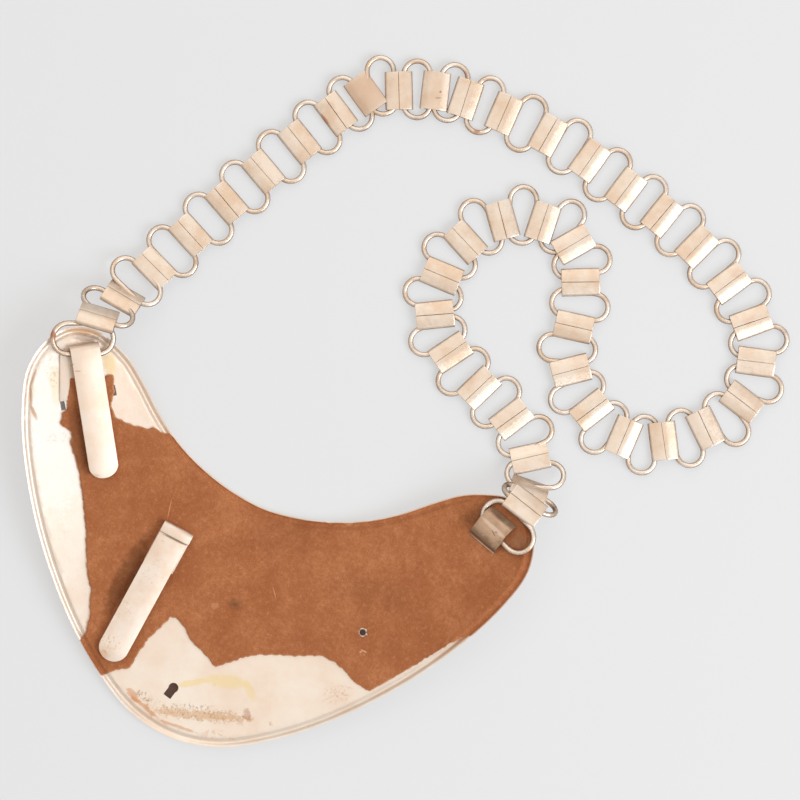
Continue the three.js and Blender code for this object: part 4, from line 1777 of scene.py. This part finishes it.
PLATE_STAINS = (
    TintPatch(-87.0, 98.0, 36.0, 12.0, -66, CHALK, 0.8, 0.4),
    TintPatch(0.6, 24.0, 7.8, 1.6, 32, GLUE, 0.62, 0.3),
    TintPatch(12.4, 29.2, 10.6, 3.2, 17, GLUE, 0.56, 0.14),
    TintPatch(22.4, 29.4, 5.2, 1.9, -43, GLUE, 0.5, 0.14),
    TintPatch(7.3, 13.4, 22.0, 3.8, 16, ASH, 0.72, 0.6, True),
    TintPatch(7.3, 12.8, 22.0, 2.4, 16, OCHRE, 0.5, 0.7),
    TintPatch(-16.0, 11.4, 5.0, 2.0, -4, ASH, 0.85, 0.5, True),
    TintPatch(-20.5, 10.4, 4.4, 1.5, -30, AMBER, 0.6, 0.5),
    TintPatch(-14.0, 7.4, 10.0, 0.9, -18, AMBER, 0.62, 0.4),
    TintPatch(1.5, 5.2, 10.5, 0.8, 3, AMBER, 0.55, 0.4),
    TintPatch(24.6, 20.2, 2.0, 2.4, 22, RUST, 0.42, 0.7),
    TintPatch(16.0, 7.6, 8.0, 2.6, 14, AMBER, 0.5, 0.5, True),
    TintPatch(55.2, 41.7, 7.0, 4.2, 32, AMBER, 0.55, 0.4, True),
    TintPatch(-102.6, 119.0, 4.6, 0.9, 80, OCHRE, 0.45, 0.5, True),
    TintPatch(-103.0, 112.6, 4.4, 0.6, 91, TAN, 0.5, 0.25),
    TintPatch(-101.4, 106.3, 4.6, 0.7, -65, TAN, 0.6, 0.25),
    TintPatch(-97.9, 100.4, 3.8, 0.95, -46, TAN, 0.65, 0.3),
    TintPatch(-94.2, 113.6, 9.0, 2.6, -65, GLUE, 0.35, 0.3),
    TintPatch(-97.0, 117.0, 8.0, 2.6, -60, ASH, 0.35, 0.5, True),
    TintPatch(-85.6, 94.7, 7.0, 2.2, 22, TAN, 0.4, 0.5, True),
    TintPatch(-77.9, 129.2, 6.0, 3.0, -52, GLUE, 0.55, 0.35),
    TintPatch(-90.4, 138.4, 12.0, 2.2, 18, OCHRE, 0.5, 0.3),
    TintPatch(-90.0, 135.2, 6.6, 1.4, 24, SMOKE, 0.4, 0.4),
)
HOOK_STAINS = (
    TintPatch(-90.6, 123.6, 1.3, 0.25, 45, SMOKE, 0.5, 0.2),
    TintPatch(-87.7, 122.1, 1.5, 0.25, 22, SMOKE, 0.45, 0.2),
    TintPatch(-97.2, 120.2, 12.0, 1.7, -60, GREY, 0.6, 0.3),
    TintPatch(-67.5, 86.0, 3.8, 0.8, 14, OCHRE, 0.35, 0.4),
)
CLIP_STAINS_AND_CREASE_SHADE = (
    TintPatch(-35.7, 41.9, 5.6, 3.6, 72, OCHRE, 0.35, 0.5, True),
    TintPatch(-36.4, 26.4, 5.4, 4.2, 22, OCHRE, 0.62, 0.5, True),
    TintPatch(-31.0, 58.0, 9.0, 4.0, 82, ASH, 0.16, 0.5, True),
    # Painted shade: a thin dark line across the clip where its tongue steps down from the fold.
    TintPatch(-28.1, 74.2, 6.2, 0.45, -5, SMOKE, 0.7, 0.2),
    TintPatch(-37.6, 21.0, 3.4, 2.2, 22, OCHRE, 0.45, 0.5),
)
STAPLE_STAINS_AND_HIGHLIGHTS = (
    TintPatch(84.6, 119.8, 9.0, 3.0, -21, SMOKE, 0.6, 0.5),
    # Painted highlights: two pale streaks across the darker staple's arch.
    TintPatch(87.2, 126.6, 7.0, 1.1, -20, PEACH, 0.65, 0.2),
    TintPatch(86.0, 118.5, 7.4, 0.5, -18, CREAM, 0.75, 0.15),
    TintPatch(91.2, 130.4, 1.2, 0.9, 22, paint(150, 158, 104), 0.6, 0.4),
    TintPatch(88.0, 124.6, 1.5, 0.3, -40, BROWN, 0.6, 0.2),
    TintPatch(88.8, 125.4, 0.7, 0.3, 20, BROWN, 0.6, 0.2),
)
WIRE_STAINS = (
    TintPatch(-102.5, 131.9, 2.0, 2.6, 22, RUST, 0.8, 0.3),
    TintPatch(9.4, 289.7, 1.3, 2.4, 42, RUST, 0.55, 0.4),
    TintPatch(20.1, 290.6, 3.6, 1.2, 12, RUST, 0.45, 0.5),
    TintPatch(22.1, 270.7, 1.5, 1.5, 22, RUST, 0.6, 0.4),
)
BAND_STAINS_AND_SHADE = (
    TintPatch(-35.9, 251.9, 3.0, 0.7, -33, RUST, 0.65, 0.4),
    TintPatch(2.8, 279.3, 0.6, 0.5, 22, SMOKE, 0.75, 0.2),
    TintPatch(3.0, 276.8, 1.4, 0.4, 22, SMOKE, 0.5, 0.3),
    # Painted shade: the two bands that lie seam down are darkened, tawny, for the shade of their rounded
    # sides.
    TintPatch(-24.7, 267.5, 11.0, 11.0, 0, SEAM_DOWN_SHADE, 0.6, 0.1),
    TintPatch(0.7, 279.0, 7.0, 11.0, 5, SEAM_DOWN_SHADE, 0.15, 0.1),
)
BOARD_MARKS_AND_SHADOWS = (
    TintPatch(-34.6, 84.8, 5.2, 0.24, 100, paint(226, 168, 126), 0.5, 0.2),
    TintPatch(3.9, 59.3, 3.4, 3.0, 22, SHADE, 0.3, 0.4),
    TintPatch(3.9, 59.3, 1.4, 1.2, 22, SHADE, 0.35, 0.3),
    TintPatch(-3.0, 55.7, 2.2, 1.4, 22, paint(222, 166, 124), 0.32, 0.6),
    TintPatch(16.7, 69.3, 3.6, 0.24, -53, paint(226, 168, 126), 0.5, 0.2),
    TintPatch(58.4, 60.8, 1.8, 1.3, 22, paint(240, 196, 160), 0.6, 0.5, True),
    TintPatch(12.0, 92.0, 16.0, 9.0, 30, BROWN, 0.12, 0.5),
    TintPatch(52.0, 84.0, 22.0, 7.0, 10, BROWN, 0.12, 0.5),
    # Painted shade: a darker patch on the board beside the staple's upper-left corner.
    TintPatch(78.5, 127.4, 6.4, 2.6, 45, SHADE, 0.26, 0.5),
    TintPatch(97.9, 124.8, 5.0, 3.6, 50, paint(150, 122, 98), 0.32, 0.6),
    # Painted shadows: dark brown strips on the board along the west sides of the clip's and the hook's
    # tongues.
    TintPatch(-40.4, 54.0, 20.0, 5.0, 84, BROWN, 0.56, 0.2),
    TintPatch(-77.4, 96.4, 17.0, 4.2, -57, BROWN, 0.5, 0.2),
)
# Painted shadow: the table under the plate and under its holes is darkened and its glow dimmed.
TABLE_SHADE = (
    TintPatch(0.0, 46.0, 58.0, 34.0, 0, BROWN, 0.45, 0.0),
    TintPatch(-7.0, 17.6, 9.0, 7.0, 0, BROWN, 0.95, 0.0),
    TintPatch(50.0, 68.3, 30.0, 18.0, 35, BROWN, 0.5, 0.0),
    TintPatch(55.3, 68.3, 8.0, 8.0, 0, BROWN, 0.9, 0.0),
    TintPatch(-78.0, 104.0, 34.0, 17.0, -62, BROWN, 0.42, 0.0),
    TintPatch(-80.5, 114.0, 19.0, 9.0, 39, BROWN, 0.72, 0.0),
)


PLATE_METAL = PlatedMetal("plated_sheet", paint(244, 231, 216), paint(238, 217, 197), SMOKE,
                          metallic=0.5, tint_patches=PLATE_STAINS)
HOOK_METAL = PlatedMetal("plated_hook", paint(235, 219, 203), PEACH, SMOKE, roughness=0.46, clouds=60,
                         speckle=0.45, metallic=0.4, steep_shade_and_dirt=0.4, tint_patches=HOOK_STAINS)
CLIP_METAL = PlatedMetal("plated_clip", CREAM, PEACH, SMOKE, roughness=0.46, clouds=60,
                         speckle=0.8, metallic=0.4, tint_patches=CLIP_STAINS_AND_CREASE_SHADE)
BAND_METAL = PlatedMetal("plated_band", paint(235, 219, 202), FAWN, UMBER, roughness=0.34, clouds=90,
                         speckle=0.55, tarnish=0.12, tint_patches=BAND_STAINS_AND_SHADE)
WIRE_METAL = PlatedMetal("plated_wire", CREAM, FAWN, UMBER, roughness=0.28, clouds=110,
                         speckle=0.6, tarnish=0.3, steep_shade_and_dirt=1.0, tint_patches=WIRE_STAINS)
STAPLE_METAL = PlatedMetal("worn_staple", paint(197, 164, 136), paint(167, 134, 107), SMOKE, clouds=120,
                           speckle=0.6, tarnish=0.6, tint_patches=STAPLE_STAINS_AND_HIGHLIGHTS)
BOARD_FACE = TornBoard("board_face", base=paint(190, 125, 84), deep=paint(157, 94, 58),
                       pale=paint(209, 153, 113), grey=paint(130, 92, 66), marks_and_shadows=BOARD_MARKS_AND_SHADOWS)
BOARD_CORE = TornBoard("board_core", base=paint(216, 164, 122), deep=paint(188, 130, 92),
                       pale=paint(230, 186, 148), grey=paint(150, 108, 82))


def main() -> None:
    """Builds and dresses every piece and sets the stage."""
    logging.basicConfig(level=logging.INFO, format="%(message)s")
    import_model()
    drawing = Drawing()
    drawing.measure()
    on_board = drawing.clearance + drawing.board + drawing.clearance

    plate_metal = PLATE_METAL.material(drawing)
    hook_metal = HOOK_METAL.material(drawing)
    clip_metal = CLIP_METAL.material(drawing)
    band_metal = BAND_METAL.material(drawing)
    wire_metal = WIRE_METAL.material(drawing)
    staple_metal = STAPLE_METAL.material(drawing)
    board_face = BOARD_FACE.material(drawing)
    board_core = BOARD_CORE.material(drawing)

    hold(PlateMaker(drawing).build(), plate_metal, "plate_metal", "plate")
    upper, lower = BackingMaker(drawing).build()
    hold(upper, board_face, "board", "backing")
    hold(lower, board_core, "board", "backing")

    hook = StripMaker(drawing, "hook_tongue_strip", across=-0.851, along=0.931, heading=-57.5,
                      lift=drawing.clearance, width=11.8, fold_width=11.8, sheet=0.9, gap=3.2, base=18.8,
                      tongue=51.5, tip_height=3.4, base_left=(2.3, 5.2), base_rise=-0.35, fold_shift=1.4)
    clip = StripMaker(drawing, "wearing_clip_strip", across=-0.268, along=0.555, heading=-96.4,
                      lift=on_board, width=12.0, fold_width=12.8, sheet=0.9, gap=2.0, base=16, tongue=58,
                      tip_height=1.7, tongue_shift=-0.3, fold_length=2.4, crease=0.8, crown=0.3)
    staple = StapleMaker(drawing, on_board)
    hold(hook.build(), hook_metal, "clip_metal", "hook_tongue")
    hold(clip.build(), clip_metal, "clip_metal", "wearing_clip")
    hold(staple.build(), staple_metal, "staple_metal", "chain_staple")

    chain = ChainMaker(drawing, hook.frame(), staple.frame(), hook.sheet + hook.gap / 2)
    rings, bands = chain.build()
    for pieces, metal in ((rings, wire_metal), (bands, band_metal)):
        for piece in pieces:
            hold(piece, metal, "chain_metal", "neck_chain")

    Studio(drawing).build()


if __name__ == "__main__":
    main()
